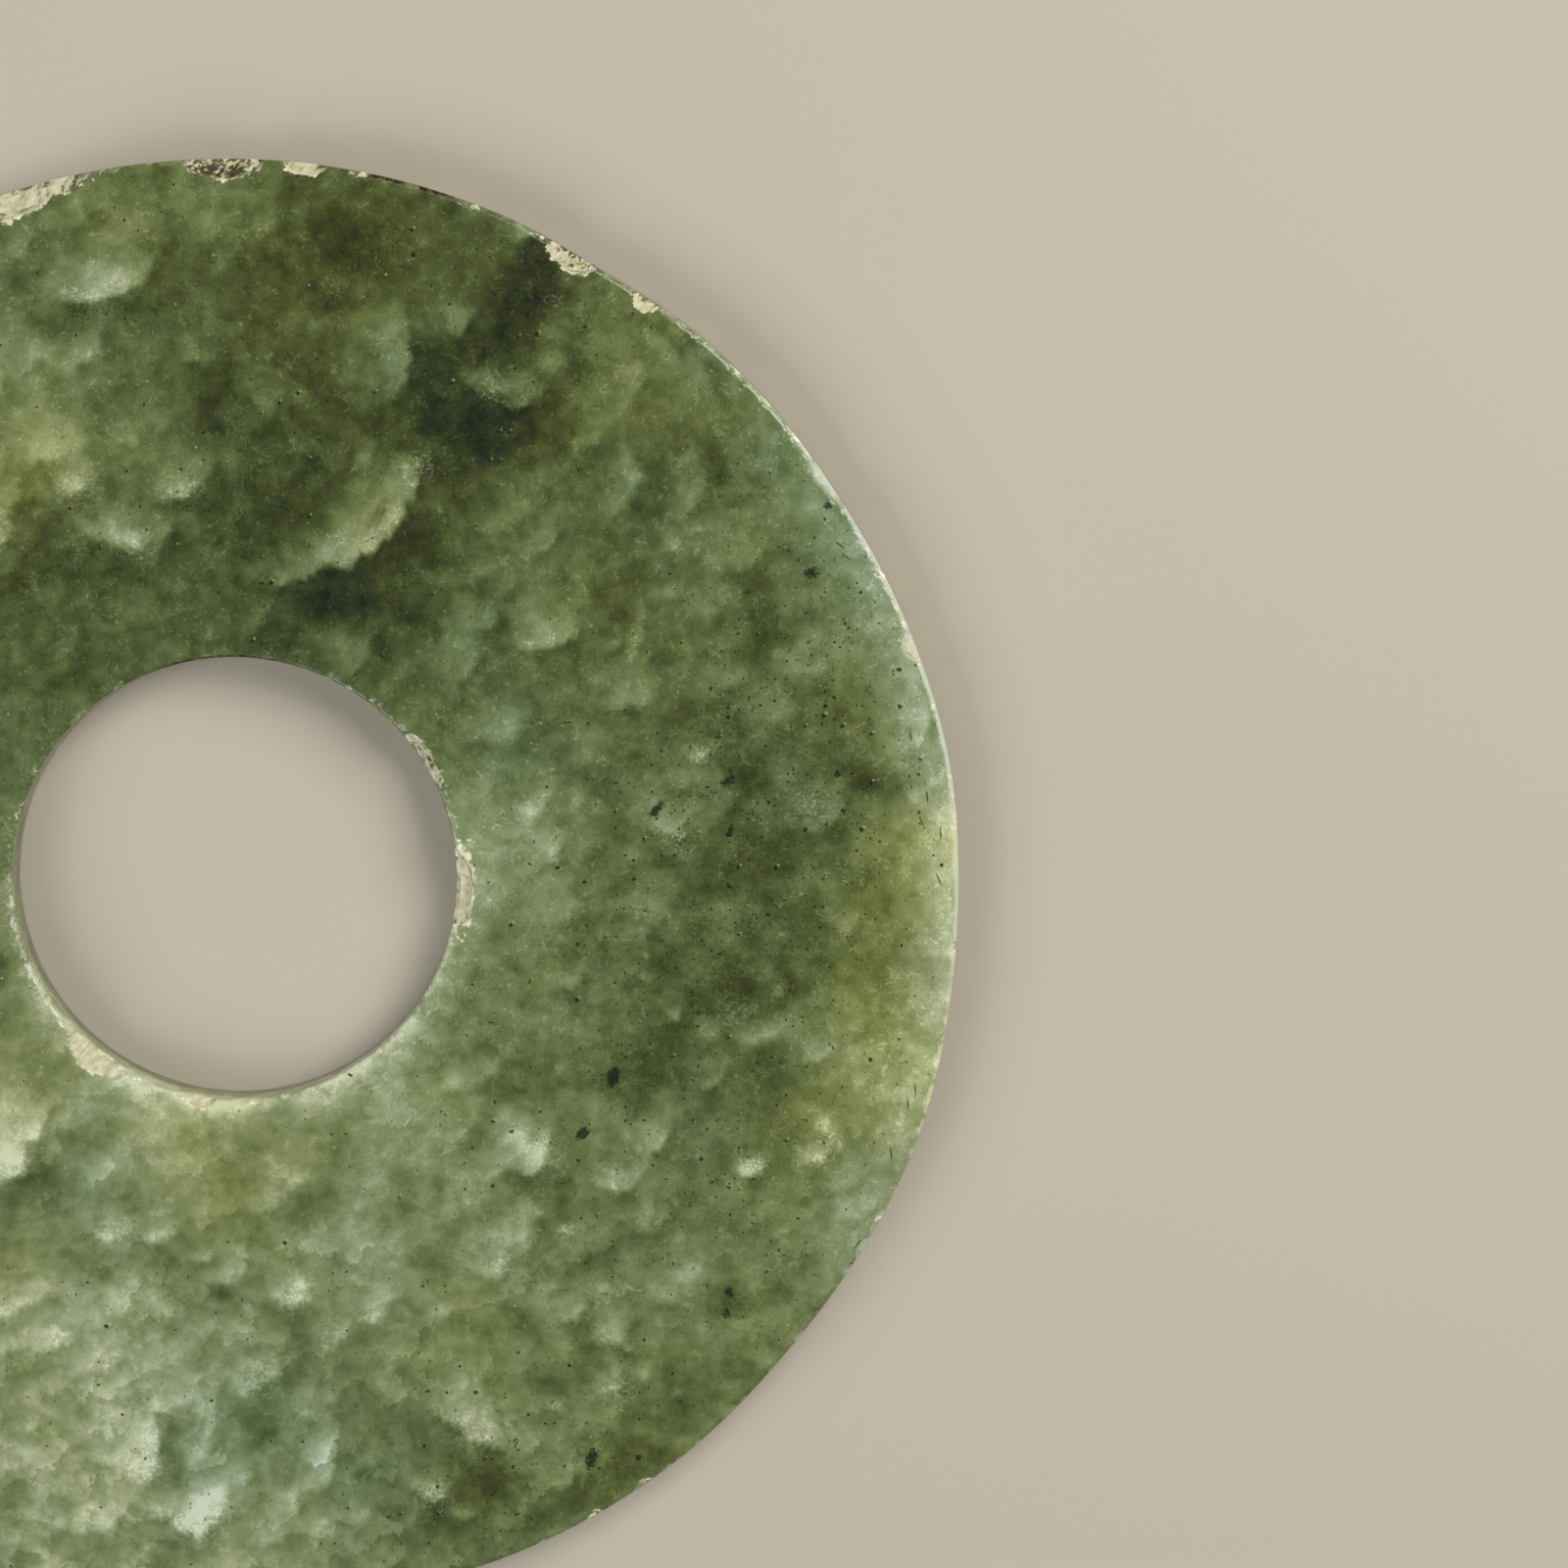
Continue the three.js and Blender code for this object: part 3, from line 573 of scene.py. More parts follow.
def carve(points, eats):
    """Breaks the chips out of the edges. Returns the cream, the brown dirt and the bruising at each point.
    """
    cream, soil_and_shade, bruise_and_highlight = np.zeros((3, len(points)))
    lots = [
        (FRONT_RIM_CHIPS, on_rim, THICKNESS, 1),
        (BACK_RIM_CHIPS, on_rim, 0, 1),
        (FRONT_HOLE_CHIPS, on_hole, THICKNESS, -1),
        (BACK_HOLE_CHIPS, on_hole, 0, -1),
        (small_chips(FRONT_NIBBLES, 3, rim_wear, 1.8), on_rim, THICKNESS, 1),
        (small_chips(BACK_NIBBLES, 4, rim_wear, 1.8), on_rim, 0, 1),
        (small_chips(HOLE_NIBBLES, 6, hole_wear, 1.3), on_hole, THICKNESS, -1),
    ]
    for chips, edge, height, outward in lots:
        for chip in chips:
            fresh = scoop(points, eats, chip, edge, height, outward)
            cream = np.maximum(cream, fresh * chip[4])
            soil_and_shade = np.maximum(soil_and_shade, fresh * chip[5])
            bruise_and_highlight = np.maximum(bruise_and_highlight, fresh * (1 - chip[4]) * (1 - chip[5]))
    return cream, soil_and_shade, bruise_and_highlight


def turned(points, x, y, lean):
    """Each point's place from (x, y), along a direction that leans this many degrees and across it."""
    turn = math.radians(lean)
    away = points[:, :2] - [x, y]
    along = away @ [math.cos(turn), math.sin(turn)]
    across = away @ [-math.sin(turn), math.cos(turn)]
    return along, across


def ragged(points):
    """A wandering of the places, so that no cloud has a smooth outline."""
    wander = np.zeros((len(points), 3))
    for axis in range(2):
        wander[:, axis] = 0.85 * layered_noise(points, 3.6, 21 + 5 * axis, 2)
        wander[:, axis] += 0.42 * layered_noise(points, 1.1, 23 + 5 * axis, 2)
    return points + wander


def cloud_cover(points, clouds):
    """How pale the clouds make each point, how frosted their crisp edges make it, and how far it lies in
    the dark stone ahead of one."""
    clear = np.ones(len(points))
    frost_and_highlight = np.zeros(len(points))
    lee = np.zeros(len(points))
    for x, y, half, fade, faces, strength in clouds:
        fade *= 1.1 + 0.4 * smooth(half - 0.8)
        half, strength = half * 1.1, min(strength * 1.08, 0.9)
        ahead, aside = turned(points, x, y, faces)
        reach = 1.5 + 1.5 * fade
        near = np.flatnonzero((np.abs(aside) < 2.4 * half) & (ahead < reach) & (ahead > -3 * fade))
        ahead, aside = ahead[near], aside[near]
        ahead = ahead + 0.3 * aside**2 / half
        body = strength * np.exp(-((aside / half) ** 2) * 0.9)
        behind = np.exp(-((np.minimum(ahead, 0) / fade) ** 2) * 0.9)
        beyond = smooth(ahead / max(0.4, 1.35 - 1.9 * strength) + 0.5)
        clear[near] *= 1 - body * behind * (1 - beyond)
        grains = 1.7 * strength * body * np.exp(-(((ahead + 0.6) / (0.35 + 0.12 * fade)) ** 2))
        frost_and_highlight[near] = np.maximum(frost_and_highlight[near], grains * (1 - smooth(ahead / 0.6 + 0.5)))
        dark = body * beyond * np.exp(-((np.maximum(ahead, 0) / (0.8 + 0.8 * fade)) ** 2))
        lee[near] = np.maximum(lee[near], dark)
    return 1 - clear, frost_and_highlight, lee


def blob(points, x, y, half_length, half_width, lean):
    along, across = turned(points, x, y, lean)
    return np.exp(-((along / half_length) ** 2) - (across / half_width) ** 2)


def drift(points, places):
    """The sum of round soft spots: x, y, radius and height."""
    total = np.zeros(len(points))
    for x, y, radius, rise in places:
        total += rise * blob(points, x, y, radius, radius, 0)
    return total


def union(points, places):
    """How strongly soft patches cover each point, from 0 to 1."""
    clear = np.ones(len(points))
    for x, y, half_length, half_width, lean, strength in places:
        clear *= 1 - strength * blob(points, x, y, half_length, half_width, lean)
    return 1 - clear


def strewn(random, right):
    """A random place on or beside the disc, with x below right."""
    return random.uniform(-RIM_RADIUS, right), random.uniform(-RIM_RADIUS, RIM_RADIUS)


def unseen_clouds():
    """Clouds like the listed ones, for the side of the disc that the camera's frame cuts off."""
    random = np.random.RandomState(12)
    clouds = []
    while len(clouds) < UNSEEN_CLOUDS:
        x, y = strewn(random, -22)
        half, fade = random.uniform(0.7, 2.8), random.uniform(0.9, 2.8)
        faces = random.normal(-60, 22)
        strength = random.uniform(0.16, 0.36) + 0.3 * random.uniform(0, 1) ** 4
        if math.hypot(x, y) < RIM_RADIUS:
            clouds.append((x, y, half, fade, faces, strength))
    return clouds


def unseen_shades():
    random = np.random.RandomState(14)
    shades = []
    while len(shades) < UNSEEN_SHADES:
        x, y = strewn(random, -24)
        half_length, half_width = random.uniform(1.6, 4), random.uniform(1, 2.4)
        if math.hypot(x, y) < RIM_RADIUS:
            lean, strength = random.uniform(0, 70), random.uniform(0.2, 0.42)
            shades.append((x, y, half_length, half_width, lean, strength))
    return shades


def back_clouds():
    random = np.random.RandomState(16)
    clouds = []
    for _ in range(BACK_CLOUDS):
        x, y = strewn(random, RIM_RADIUS)
        half, fade = random.uniform(1.4, 4.2), random.uniform(1.6, 4)
        clouds.append((x, y, half, fade, random.normal(-60, 25), random.uniform(0.1, 0.34)))
    return clouds


def bearings(points, middle):
    """Each point's bearing in degrees about a middle, and its distance from it."""
    away = points[:, :2] - middle
    return np.degrees(np.arctan2(away[:, 1], away[:, 0])), np.hypot(away[:, 0], away[:, 1])


def edge_patch(edge, middle, span, inset, width, power=2):
    """1 on a stretch of an edge, which is given by each point's bearing and distance inward. It falls off
    over a span of degrees along the edge, and over a width to both sides of a line inset from it."""
    bearing, inward = edge
    return bump(bearing, middle, span) * np.exp(-(((inward - inset) / width) ** power))


def fields(points, cream, soil_and_shade, bruise_and_highlight):
    """The stone's mottling at every point, with painted light and shade at some edges, as the named values
    that the material reads.
    """
    front = smooth((points[:, 2] - 1.5) / 3.5)
    back = 1 - front
    wandering = ragged(points)
    pale, frost_and_highlight, lee = cloud_cover(wandering, CLOUDS + unseen_clouds())
    back_pale, back_frost, back_lee = cloud_cover(wandering, back_clouds())
    pale = front * pale + back * back_pale
    lee = front * lee + back * back_lee
    dark = front * union(wandering, SHADES + unseen_shades()) + back * 0.1
    bearing, reach = bearings(points, 0)
    rim = bearing, rim_radius(np.radians(bearing)) - reach
    hole_bearing, hole_reach = bearings(points, HOLE_MIDDLE)
    hole = hole_bearing, hole_reach - HOLE_RADIUS
    patchy = 0.5 + 0.5 * np.clip(layered_noise(points, 1.5, 51, 3), -1, 1)

    tone = 0.41 + front * drift(points, DRIFTS) + back * 0.07
    tone += 0.07 * layered_noise(points, 7, 31, 3) + 0.055 * layered_noise(points, 2.4, 35, 3)
    tone -= 0.17 * lee
    # A painted glow: a pale band inside the rim's right side, as if the light shone through the thin stone
    # there
    tone += 0.36 * front * edge_patch(rim, 3, 38, 0, 4.4)
    # Paler bands inside the hole's lower right and lower left: paler stone there, and partly a painted
    # highlight of those edges, which face the key light
    tone += 0.34 * front * edge_patch(hole, -46, 52, 0, 2.6) * (0.5 + patchy)
    tone += 0.3 * front * edge_patch(hole, -128, 44, 0, 1.8) * (0.4 + patchy)
    tone += (1 - tone) * pale * 0.95
    tone -= tone * dark * 0.9

    # Bruised stone beside the chips, and painted highlights along the edges that face the key light
    tone += 0.3 * bruise_and_highlight * (1 - cream)
    # A painted highlight: a light line along the rim's upper right
    tone += 0.4 * front * edge_patch(rim, 20, 26, 0.05, 0.22) * (0.4 + patchy)
    # From here on the bruise values also hold painted highlight lines along the rim's upper right and round
    # the hole's lower left and lower right, which the frost field draws as white specks
    bruise_and_highlight = 0.7 * bruise_and_highlight
    bruise_and_highlight += 3.2 * edge_patch(rim, 22, 27, 0.05, 0.24)
    bruise_and_highlight += 3 * edge_patch(hole, -145, 40, 0.15, 0.3)
    bruise_and_highlight += 0.8 * edge_patch(hole, -134, 58, 0.4, 1.1)
    bruise_and_highlight += 1.2 * edge_patch(hole, -40, 34, 0.2, 0.5)
    frost_and_highlight = front * (frost_and_highlight + union(points, [(x, y, r, r, 0, white) for x, y, r, white in CRYSTALS]))
    frost_and_highlight += front * bruise_and_highlight * 1.1 * patchy + back * back_frost

    cream = np.maximum(cream, 1.2 * front * edge_patch(hole, -2, 9, 0.8, 0.9, 4))
    # Painted shade: a thin brown line round the top of the hole, whose edge faces away from the light; with
    # it, real brown soil on the rim near its top
    dirt_and_shade_line = edge_patch(hole, 92, 34, 0, 0.35) + edge_patch(rim, 76, 9, 0, 0.7)
    return {
        "tone": tone,
        "hue": front * drift(points, HUES) + 0.3 * layered_noise(points, 9, 41, 2),
        "crisp": 0.3 + 0.7 * smooth((10 - points[:, 1] - 0.35 * points[:, 0]) / 60),
        "pepper": front * (drift(points, PEPPER) + 0.05) + back * 0.1,
        "ink": front * union(points, BLOTCHES),
        "frost_and_highlight": frost_and_highlight,
        "cream": cream * (0.8 + 0.4 * patchy) * (1 - 0.5 * bump(bearing, 99, 6)),
        "soil_and_shade": np.maximum(soil_and_shade, front * dirt_and_shade_line * (0.5 + patchy)),
    }


def undulation(points, inland):
    """How far the hand-ground faces lie below true, in millimetres: nothing at their edges."""
    return inland * 0.03 * (1 + np.clip(layered_noise(points * [1, 1, 0.01], 16, 61, 2), -1, 1))


# The disc's map for baked colours: the front, rim and hole as one round island, and the back as another
FRONT_MAP_MIDDLE = (0.375, 0.625)
FRONT_MAP_SCALE = 0.365 / 77.5
BACK_MAP_MIDDLE = (0.788, 0.212)
BACK_MAP_SCALE = 0.2 / 70


def jade_disc():
    rings = section()
    counts = [ring.count for ring in rings]
    starts = np.cumsum([0] + counts)
    points = np.concatenate([ring.places() for ring in rings])
    eats = np.repeat([ring.eats for ring in rings], counts)
    unrolled = np.repeat([ring.unrolled() for ring in rings], counts)
    inland = np.repeat([smooth(min(ring.share, 1 - ring.share) * 12) for ring in rings], counts)
    cream, soil_and_shade, bruise_and_highlight = carve(points, eats)
    points[:, 2] += np.where(points[:, 2] > THICKNESS / 2, -1, 1) * undulation(points, inland)
    values = fields(points, cream, soil_and_shade, bruise_and_highlight)
    faces, on_back = [], []
    for index, ring in enumerate(rings):
        after = (index + 1) % len(rings)
        triangles = strip(starts[index], ring.count, starts[after], rings[after].count)
        faces += triangles
        on_back += [ring.part == rings[after].part == "back"] * len(triangles)
    low, high = points.min(axis=0), points.max(axis=0)
    box_low, box_high = (np.array(corner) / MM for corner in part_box("bi_disc"))
    shift = (box_low + box_high - low - high) / 2
    shift[2] = box_low[2]
    mesh = bpy.data.meshes.new("jade_disc")
    mesh.from_pydata(((points + shift) * MM).tolist(), [], faces)
    mesh.update()
    mesh.shade_smooth()
    mesh.set_sharp_from_angle(angle=math.radians(42))
    for name, numbers in values.items():
        attribute = mesh.attributes.new(name, "FLOAT", "POINT")
        attribute.data.foreach_set("value", np.asarray(numbers, dtype=np.float32))
    lay_map(mesh, points, unrolled, np.array(faces), np.array(on_back))
    disc = bpy.data.objects.new("jade_disc", mesh)
    bpy.context.scene.collection.objects.link(disc)
    return disc


def lay_map(mesh, points, unrolled, faces, on_back):
    """Gives the mesh its map, with the walls unrolled round the front face and into its hole."""
    middle = np.where(np.hypot(*points[:, :2].T)[:, None] < 40, HOLE_MIDDLE, 0)
    away = points[:, :2] - middle
    reach = np.hypot(*away.T)[:, None]
    front = FRONT_MAP_MIDDLE + (middle + away * (reach + unrolled[:, None]) / reach) * FRONT_MAP_SCALE
    back = BACK_MAP_MIDDLE + points[:, :2] * [-1, 1] * BACK_MAP_SCALE
    corners = faces.reshape(-1)
    uv = np.where(np.repeat(on_back, 3)[:, None], back[corners], front[corners])
    layer = mesh.uv_layers.new(name="OFBake")
    layer.data.foreach_set("uv", uv.astype(np.float32).reshape(-1))


class Graph:
    """Adds shader nodes and links them. A number or colour given for a socket is set on it."""

    def __init__(self, material):
        material.use_nodes = True
        self.tree = material.node_tree
        self.tree.nodes.clear()

    def node(self, kind, inputs=(), **settings):
        made = self.tree.nodes.new("ShaderNode" + kind)
        for name, value in settings.items():
            setattr(made, name, value)
        for socket, value in dict(inputs).items():
            if isinstance(value, bpy.types.NodeSocket):
                self.tree.links.new(value, made.inputs[socket])
            else:
                made.inputs[socket].default_value = value
        return made

    def maths(self, operation, *values):
        """One number from several, taken two by two, such as their sum or the greatest of them."""
        total = values[0]
        for value in values[1:]:
            total = self.node("Math", {0: total, 1: value}, operation=operation).outputs[0]
        return total

    def plus(self, *terms):
        return self.maths("ADD", *terms)

    def times(self, *factors):
        return self.maths("MULTIPLY", *factors)

    def vector(self, operation, a, b):
        """A vector made from two, or from one and a number that scales it."""
        socket = "Scale" if operation == "SCALE" else 1
        return self.node("VectorMath", {0: a, socket: b}, operation=operation).outputs["Vector"]

    def measure(self, operation, a, b):
        """The dot product of two vectors, or the distance between two places."""
        return self.node("VectorMath", {0: a, 1: b}, operation=operation).outputs["Value"]

    def between(self, value, low, high, to_low=0, to_high=1):
        """value taken smoothly from the range low to high into another one, and held inside it."""
        inputs = {"Value": value, "From Min": low, "From Max": high, "To Min": to_low, "To Max": to_high}
        return self.node("MapRange", inputs, interpolation_type="SMOOTHSTEP").outputs["Result"]

    def field(self, name):
        return self.node("Attribute", attribute_name=name).outputs["Fac"]

    def noise(self, vector, scale, detail, roughness=0.5, output="Fac"):
        inputs = {"Vector": vector, "Scale": scale, "Detail": detail, "Roughness": roughness}
        return self.node("TexNoise", inputs).outputs[output]

    def uneven(self, rise, *noise):
        """Noise that rises and falls about 0."""
        return self.times(self.plus(self.noise(*noise), -0.5), rise)

    def cells(self, vector, scale):
        return self.node("TexVoronoi", {"Vector": vector, "Scale": scale}, voronoi_dimensions="2D")

    def mix(self, factor, a, b, blend="MIX"):
        settings = {"data_type": "RGBA", "blend_type": blend, "clamp_factor": True}
        return self.node("Mix", {0: factor, 6: a, 7: b}, **settings).outputs[2]

    def ramp(self, value, stops):
        made = self.node("ValToRGB", {0: value})
        band = made.color_ramp.elements
        while len(band) < len(stops):
            band.new(1)
        for element, (place, colour) in zip(band, stops):
            element.position = place
            element.color = colour
        return made.outputs["Color"]


def seen(red, green, blue):
    """A colour as a screen shows it, from 0 to 255, as the light it stands for."""
    parts = []
    for level in (red, green, blue):
        level /= 255
        parts.append(level / 12.92 if level <= 0.04045 else ((level + 0.055) / 1.055) ** 2.4)
    return (*parts, 1.0)


# The stone's colour by its lightness, from 0 to 1
JADE_TONES = [
    (0, seen(24, 30, 14)), (0.1, seen(40, 48, 22)), (0.22, seen(59, 68, 30)), (0.34, seen(79, 90, 47)),
    (0.44, seen(96, 109, 64)), (0.54, seen(113, 126, 80)), (0.66, seen(133, 145, 102)),
    (0.78, seen(157, 167, 130)), (0.9, seen(185, 194, 160)), (1, seen(212, 218, 190)),
]
YELLOWED = (1.05, 1, 0.7, 1)
BLUED = (0.86, 0.98, 1.14, 1)
CRUST_TONES = [
    (0.24, seen(154, 130, 84)), (0.37, seen(202, 195, 152)), (0.5, seen(221, 217, 180)),
    (0.68, seen(242, 240, 212)),
]
# Brown soil colours, which also draw the painted shade line round the top of the hole
SOIL_AND_SHADE_TONES = [(0.42, seen(34, 26, 14)), (0.54, seen(74, 56, 28)), (0.66, seen(128, 100, 56))]
CRISP_WAY = (0.64, -0.77, 0)  # the way that the crisp edges of the stone's flakes face


def grain_axes(lean, length, width, height):
    """The axes of grains of this size in millimetres, with their length along a direction that leans this
    many degrees from +X. A place's product with each axis is how many grains out it is."""
    turn = math.radians(lean)
    return [
        Vector((math.cos(turn) / length, math.sin(turn) / length, 0)),
        Vector((-math.sin(turn) / width, math.cos(turn) / width, 0)),
        Vector((0, 0, 1 / height)),
    ]


def stretched(graph, vector, lean, length, width, height=0.5):
    """The places drawn so that a texture on them has such grains."""
    axes = enumerate(grain_axes(lean, length, width, height))
    parts = {axis: graph.measure("DOT_PRODUCT", vector, way) for axis, way in axes}
    return graph.node("CombineXYZ", parts).outputs["Vector"]


def placed_marks(graph, in_disc):
    """The single dots and needles of the front face: 1 inside one."""
    shares = []  # the distance from each mark's middle, as a share of its half size
    for x, y, size in DOTS:
        away = graph.measure("DISTANCE", in_disc, (x, y, THICKNESS))
        shares.append(graph.times(away, 1 / size))
    for lean, places in NEEDLES.items():
        shape = (lean, NEEDLE_LENGTH / 2, NEEDLE_WIDTH / 2, NEEDLE_DEPTH)
        drawn = stretched(graph, in_disc, *shape)
        for x, y in places:
            middle = [way.dot((x, y, THICKNESS)) for way in grain_axes(*shape)]
            shares.append(graph.measure("DISTANCE", drawn, middle))
    return graph.between(graph.maths("MINIMUM", *shares), 1.15, 0.75)


def flakes(graph, vector, scale, shift):
    """Cells of the stone that brighten towards one side and end there in a crisp edge."""
    shifted = graph.vector("ADD", vector, shift)
    cells = graph.cells(shifted, scale)
    away = graph.vector("SUBTRACT", shifted, cells.outputs["Position"])
    rise = graph.plus(graph.times(graph.measure("DOT_PRODUCT", away, CRISP_WAY), scale), 0.5)
    level = graph.node("SeparateColor", {0: cells.outputs["Color"]})
    bright = graph.maths("POWER", level.outputs["Red"], 1.6)
    return graph.times(graph.maths("MAXIMUM", rise, 0), bright)


def grains(graph, vector, scale, radius):
    """Tiny round grains: 1 inside one, and with it the grain's own random level from 0 to 1."""
    cells = graph.cells(vector, scale)
    level = graph.node("SeparateColor", {0: cells.outputs["Color"]})
    varied = graph.maths("POWER", level.outputs["Green"], 3)
    size = graph.between(varied, 0, 1, radius * scale * 0.5, radius * scale * 1.4)
    inside = graph.between(graph.maths("DIVIDE", cells.outputs["Distance"], size), 1.1, 0.7)
    return inside, level.outputs["Red"]


def pinpoints(graph, vector, scale, radius, likely):
    """Such grains, of which this share is there."""
    inside, level = grains(graph, vector, scale, radius)
    return graph.times(inside, graph.maths("LESS_THAN", level, likely))


def jade():
    material = bpy.data.materials.new("mottled green jade")
    graph = Graph(material)
    in_disc = graph.vector("SCALE", graph.node("TexCoord").outputs["Object"], 1 / MM)

    # The cells are flat ones, and slide sideways with depth so that they don't stripe the walls
    depth = graph.plus(graph.node("SeparateXYZ", {0: in_disc}).outputs["Z"], -THICKNESS)
    millimetres = graph.vector("ADD", in_disc, graph.vector("SCALE", (0.8, 0.6, 0), depth))

    # A wandering of the places, coarse and fine, that makes every outline ragged
    warped = millimetres
    for scale, detail, width in ((0.42, 2, 4.6), (1.9, 1, 1.5)):
        wander = graph.noise(millimetres, scale, detail, output="Color")
        wander = graph.vector("SUBTRACT", wander, (0.5, 0.5, 0.5))
        warped = graph.vector("ADD", warped, graph.vector("SCALE", wander, width))

    # Lightness: the mesh's own field, with flakes, soft mottling, grain and fibres over it
    big = flakes(graph, warped, 0.26, (3.1, 7.7, 0.4))
    small = flakes(graph, warped, 0.62, (11.3, 2.9, 5.1))
    crisp = graph.field("crisp")
    flake = graph.times(graph.plus(graph.times(big, 0.2), graph.times(small, 0.12), -0.065), crisp)
    matted = graph.maths("SUBTRACT", 1.15, crisp)
    soft = graph.uneven(0.5, millimetres, 0.56, 4)
    grain = graph.uneven(0.11, millimetres, 3.6, 1, 0.6)
    felt = graph.times(graph.uneven(0.2, stretched(graph, warped, 56, 1.3, 0.26), 1, 3, 0.65), matted)
    # The frost field: white crystal grains, and painted highlights along the edges that face the key light;
    # the specks below draw both as near-white grains
    frost_and_highlight = graph.field("frost_and_highlight")
    specks = graph.times(graph.between(graph.noise(millimetres, 2.8, 2, 0.65), 0.5, 0.62), frost_and_highlight)
    bundles = graph.between(graph.noise(millimetres, 0.3, 1), 0.35, 0.65, 0.1, 0.4)
    hairs = pinpoints(graph, stretched(graph, warped, 62, 1.1, 0.22), 1, 0.3, bundles)
    cross_hairs = pinpoints(graph, stretched(graph, warped, 108, 0.9, 0.22), 1, 0.28, bundles)
    shine = graph.times(graph.maths("MAXIMUM", hairs, cross_hairs), matted)
    tone = graph.plus(graph.field("tone"), flake, soft, grain, felt)
    tone = graph.plus(tone, graph.times(frost_and_highlight, 0.06), graph.times(specks, 0.11), graph.times(shine, 0.2))
    colour = graph.ramp(tone, JADE_TONES)

    # Hue
    hue = graph.plus(graph.field("hue"), graph.noise(millimetres, 0.22, 1), -0.5)
    colour = graph.mix(graph.times(hue, 0.8), colour, YELLOWED, "MULTIPLY")
    colour = graph.mix(graph.times(hue, -0.8), colour, BLUED, "MULTIPLY")

    # Mineral grains: pale glints, white crystals mixed with painted edge highlights, black pinpoints and
    # blotches, rust-red dots
    inside, level = grains(graph, millimetres, 1.1, 0.12)
    glints = graph.times(inside, graph.maths("LESS_THAN", level, 0.04))
    rust = graph.times(inside, graph.maths("GREATER_THAN", level, 0.98))
    colour = graph.mix(graph.times(glints, 0.4), colour, seen(184, 192, 152))
    colour = graph.mix(graph.times(specks, 0.25), colour, seen(218, 224, 200))
    sown = graph.between(graph.noise(millimetres, 0.5, 1), 0.42, 0.62, 0.12, 1)
    sown = graph.times(graph.field("pepper"), sown)
    jagged = graph.vector("SCALE", graph.noise(millimetres, 5, 1, output="Color"), 0.5)
    jagged = graph.vector("ADD", millimetres, jagged)
    pepper = pinpoints(graph, jagged, 1.1, 0.18, graph.times(sown, 0.2))
    small_pepper = pinpoints(graph, jagged, 2.3, 0.1, graph.times(sown, 0.45))
    clump = graph.times(graph.plus(graph.field("ink"), graph.noise(millimetres, 2.8, 3, 0.65)), 1.6)
    blotch = graph.between(clump, 1.5, 1.85)
    black = graph.maths("MAXIMUM", placed_marks(graph, in_disc), pepper, small_pepper, blotch)
    colour = graph.mix(graph.times(black, 0.9), colour, seen(24, 28, 18))
    colour = graph.mix(graph.times(rust, 0.65), colour, seen(100, 48, 26))

    # Weathering in the chips: cream crust with brown soil in its hollows, and the same brown drawn as a
    # painted shade line round the top of the hole
    crust_grain = graph.noise(millimetres, 1.5, 3, 0.66)
    crusted, soiled_and_shaded = graph.field("cream"), graph.field("soil_and_shade")
    cream = graph.between(graph.plus(crusted, graph.times(crust_grain, 2.4)), 1.5, 1.75)
    cream = graph.times(cream, graph.between(crusted, 0.02, 0.15))
    soil_and_shade_grain = graph.times(graph.noise(millimetres, 2, 3, 0.7), 1.3)
    soil_and_shade = graph.between(graph.plus(soiled_and_shaded, soil_and_shade_grain), 1.34, 1.48)
    soil_and_shade_colour = graph.ramp(graph.noise(millimetres, 1.6, 2, 0.7), SOIL_AND_SHADE_TONES)
    colour = graph.mix(graph.times(cream, 0.94), colour, graph.ramp(crust_grain, CRUST_TONES))
    colour = graph.mix(graph.times(soil_and_shade, 0.92), colour, soil_and_shade_colour)

    # Finish: a worn polish, dull in the weathered chips and in the painted shade line, with faint scratches
    # and pits
    crust_and_shade_line = graph.maths("MAXIMUM", cream, soil_and_shade)
    rough = graph.times(graph.noise(millimetres, 0.6, 1), 0.16)
    rough = graph.plus(rough, 0.14, graph.times(crust_and_shade_line, 0.42))
    scratches = graph.noise(stretched(graph, millimetres, -24, 2.5, 0.12), 1, 1)
    pits = graph.times(graph.noise(millimetres, 4, 1), 0.003)
    crumble = graph.times(crust_grain, graph.maths("MAXIMUM", crusted, soiled_and_shaded), 0.07)
    height = graph.plus(graph.times(scratches, 0.0012), pits, crumble)
    bump_map = graph.node("Bump", {"Height": height, "Distance": MM, "Strength": 1})

    shader = graph.node(
        "BsdfPrincipled",
        {
            "Base Color": colour,
            "Roughness": rough,
            "Normal": bump_map.outputs["Normal"],
            "IOR": 1.61,
            "Specular IOR Level": graph.plus(graph.times(crust_and_shade_line, -0.4), 0.5),
            "Subsurface Weight": 0.12,
            "Subsurface Radius": (1, 1, 0.6),
            "Subsurface Scale": 0.8 * MM,
        },
    )
    output = graph.node("OutputMaterial")
    graph.tree.links.new(shader.outputs["BSDF"], output.inputs["Surface"])
    return material


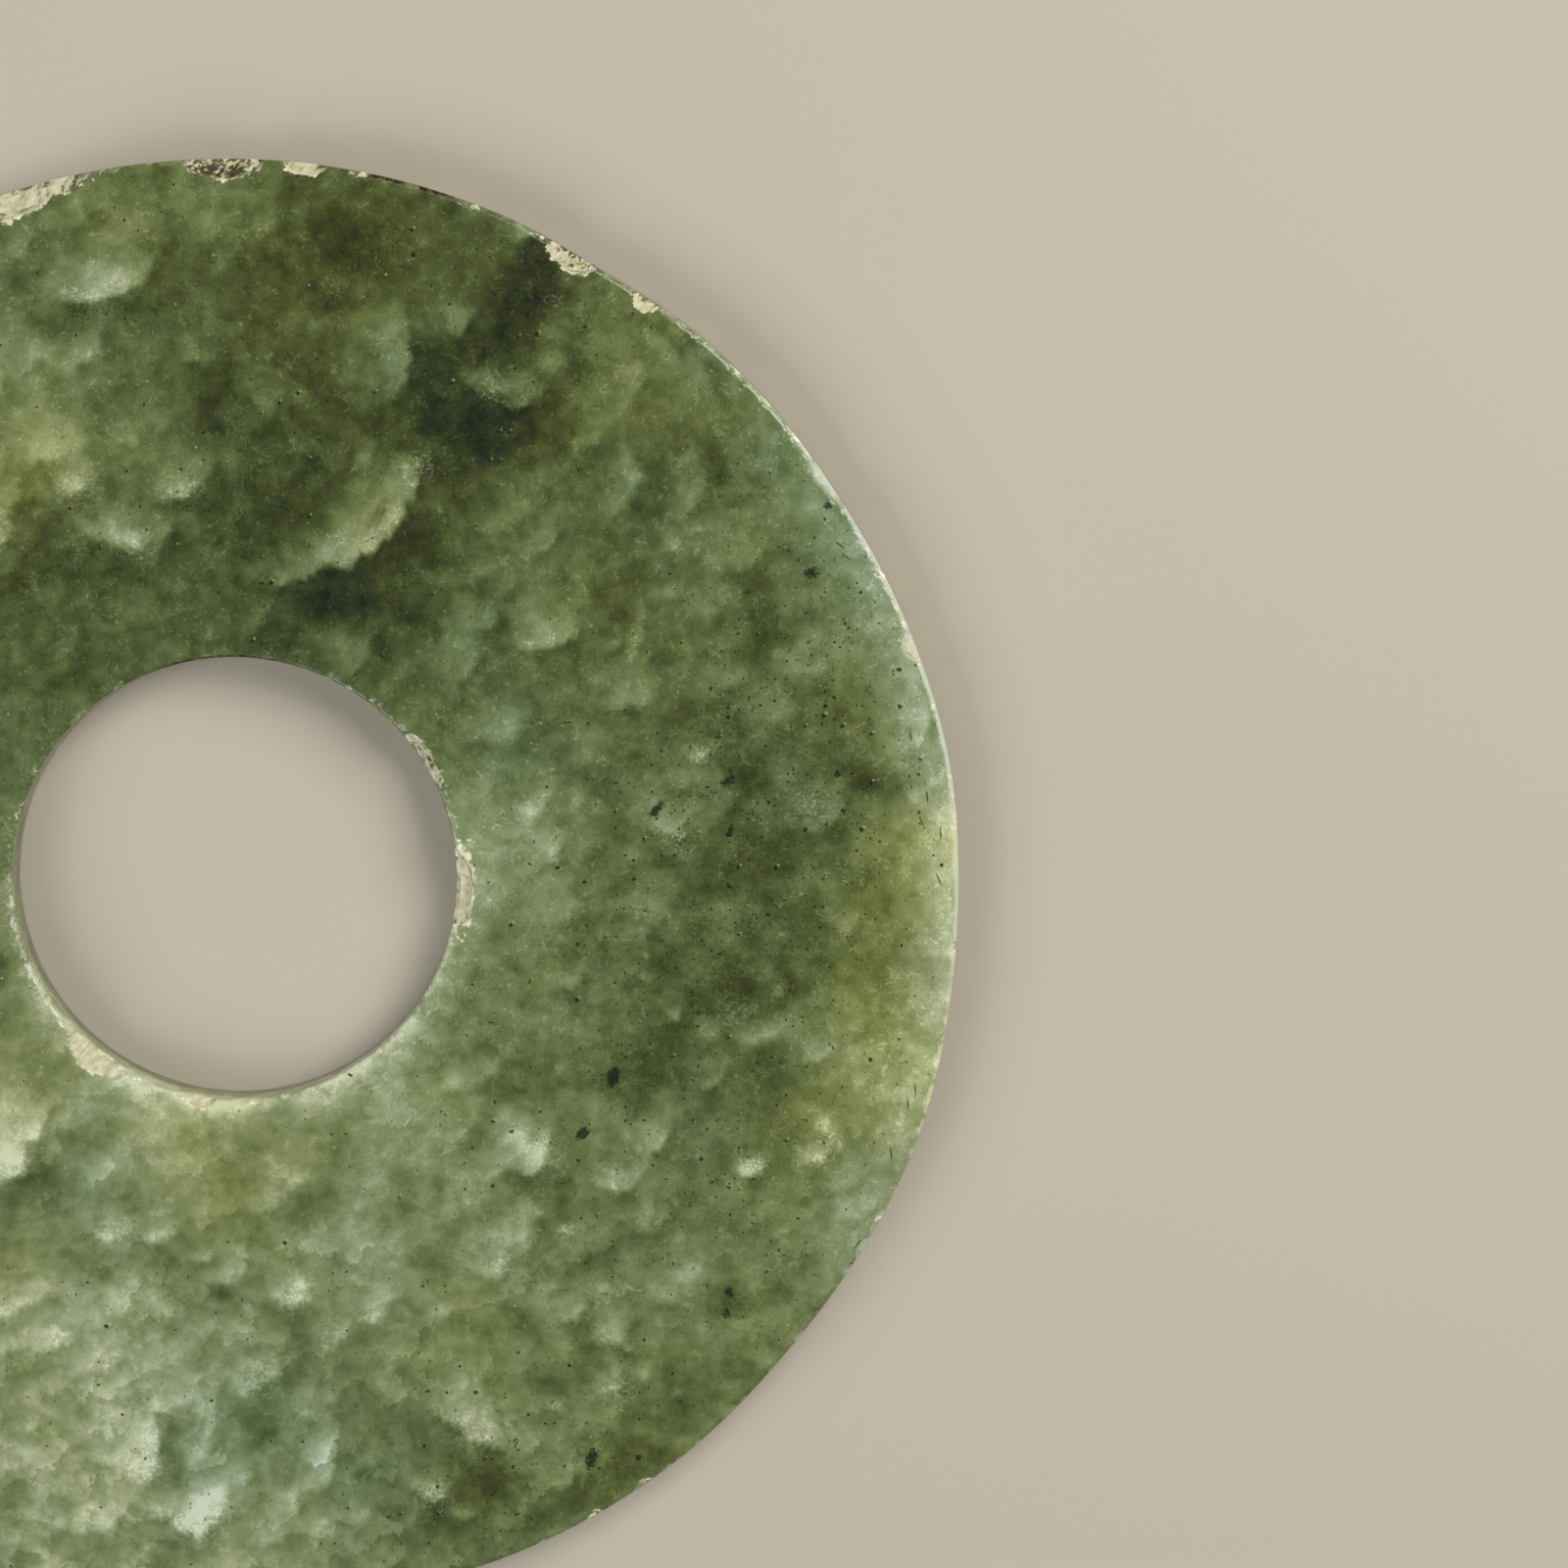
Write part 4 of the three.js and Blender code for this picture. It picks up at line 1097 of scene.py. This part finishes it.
def plain_floor():
    """A pale sheet, far wider than the disc."""
    half = 3
    mesh = bpy.data.meshes.new("floor")
    corners = [(-half, -half, 0), (half, -half, 0), (half, half, 0), (-half, half, 0)]
    mesh.from_pydata(corners, [], [(0, 1, 2, 3)])
    floor = bpy.data.objects.new("floor", mesh)
    bpy.context.scene.collection.objects.link(floor)
    floor.location.z = cad_box[0][2] - 0.02 * MM
    material = bpy.data.materials.new("pale paper")
    material.use_nodes = True
    shader = material.node_tree.nodes["Principled BSDF"]
    shader.inputs["Base Color"].default_value = seen(196, 188, 171)
    shader.inputs["Roughness"].default_value = 0.9
    mesh.materials.append(material)
    return floor


def soft_light(name, bearing, elevation, distance, size, power, colour):
    """A square soft light that faces the disc."""
    data = bpy.data.lights.new(name, "AREA")
    data.shape = "SQUARE"
    data.size = size
    data.energy = power
    data.color = colour
    light = bpy.data.objects.new(name, data)
    bpy.context.scene.collection.objects.link(light)
    turn, rise = math.radians(bearing), math.radians(elevation)
    way = Vector((math.cos(turn) * math.cos(rise), math.sin(turn) * math.cos(rise), math.sin(rise)))
    light.location = way * distance
    light.rotation_mode = "QUATERNION"
    light.rotation_quaternion = way.to_track_quat("Z", "Y")


def camera():
    """The photograph's viewpoint: above the disc, and aimed up and right of its middle, so that the
    frame's edges cut off its left and its bottom."""
    aim = Vector((53.3, 10.5, THICKNESS)) * MM
    place = Vector((53.3, 60.3, 564.3)) * MM
    seen_width = 150.04 * MM
    data = bpy.data.cameras.new("camera")
    data.sensor_width = 36
    data.lens = data.sensor_width * (place - aim).length / seen_width
    data.clip_start = 0.01
    data.clip_end = 10
    made = bpy.data.objects.new("camera", data)
    bpy.context.scene.collection.objects.link(made)
    made.location = place
    made.rotation_euler.x = -math.atan2((place - aim).y, (place - aim).z)
    bpy.context.scene.camera = made


camera()

disc = jade_disc()
disc.data.materials.append(jade())
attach(disc, "root")
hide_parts("bi_disc")

plain_floor()
soft_light("key", 38, 46, 0.9, 0.55, 6.6, (1.0, 0.975, 0.93))
soft_light("fill", 215, 46, 0.9, 0.7, 4.6, (0.97, 0.985, 1.0))
world = bpy.data.worlds.new("studio")
world.use_nodes = True
world.node_tree.nodes["Background"].inputs["Color"].default_value = (0.92, 0.95, 1, 1)
world.node_tree.nodes["Background"].inputs["Strength"].default_value = 0.1
bpy.context.scene.world = world
bpy.context.scene.view_settings.view_transform = "Standard"
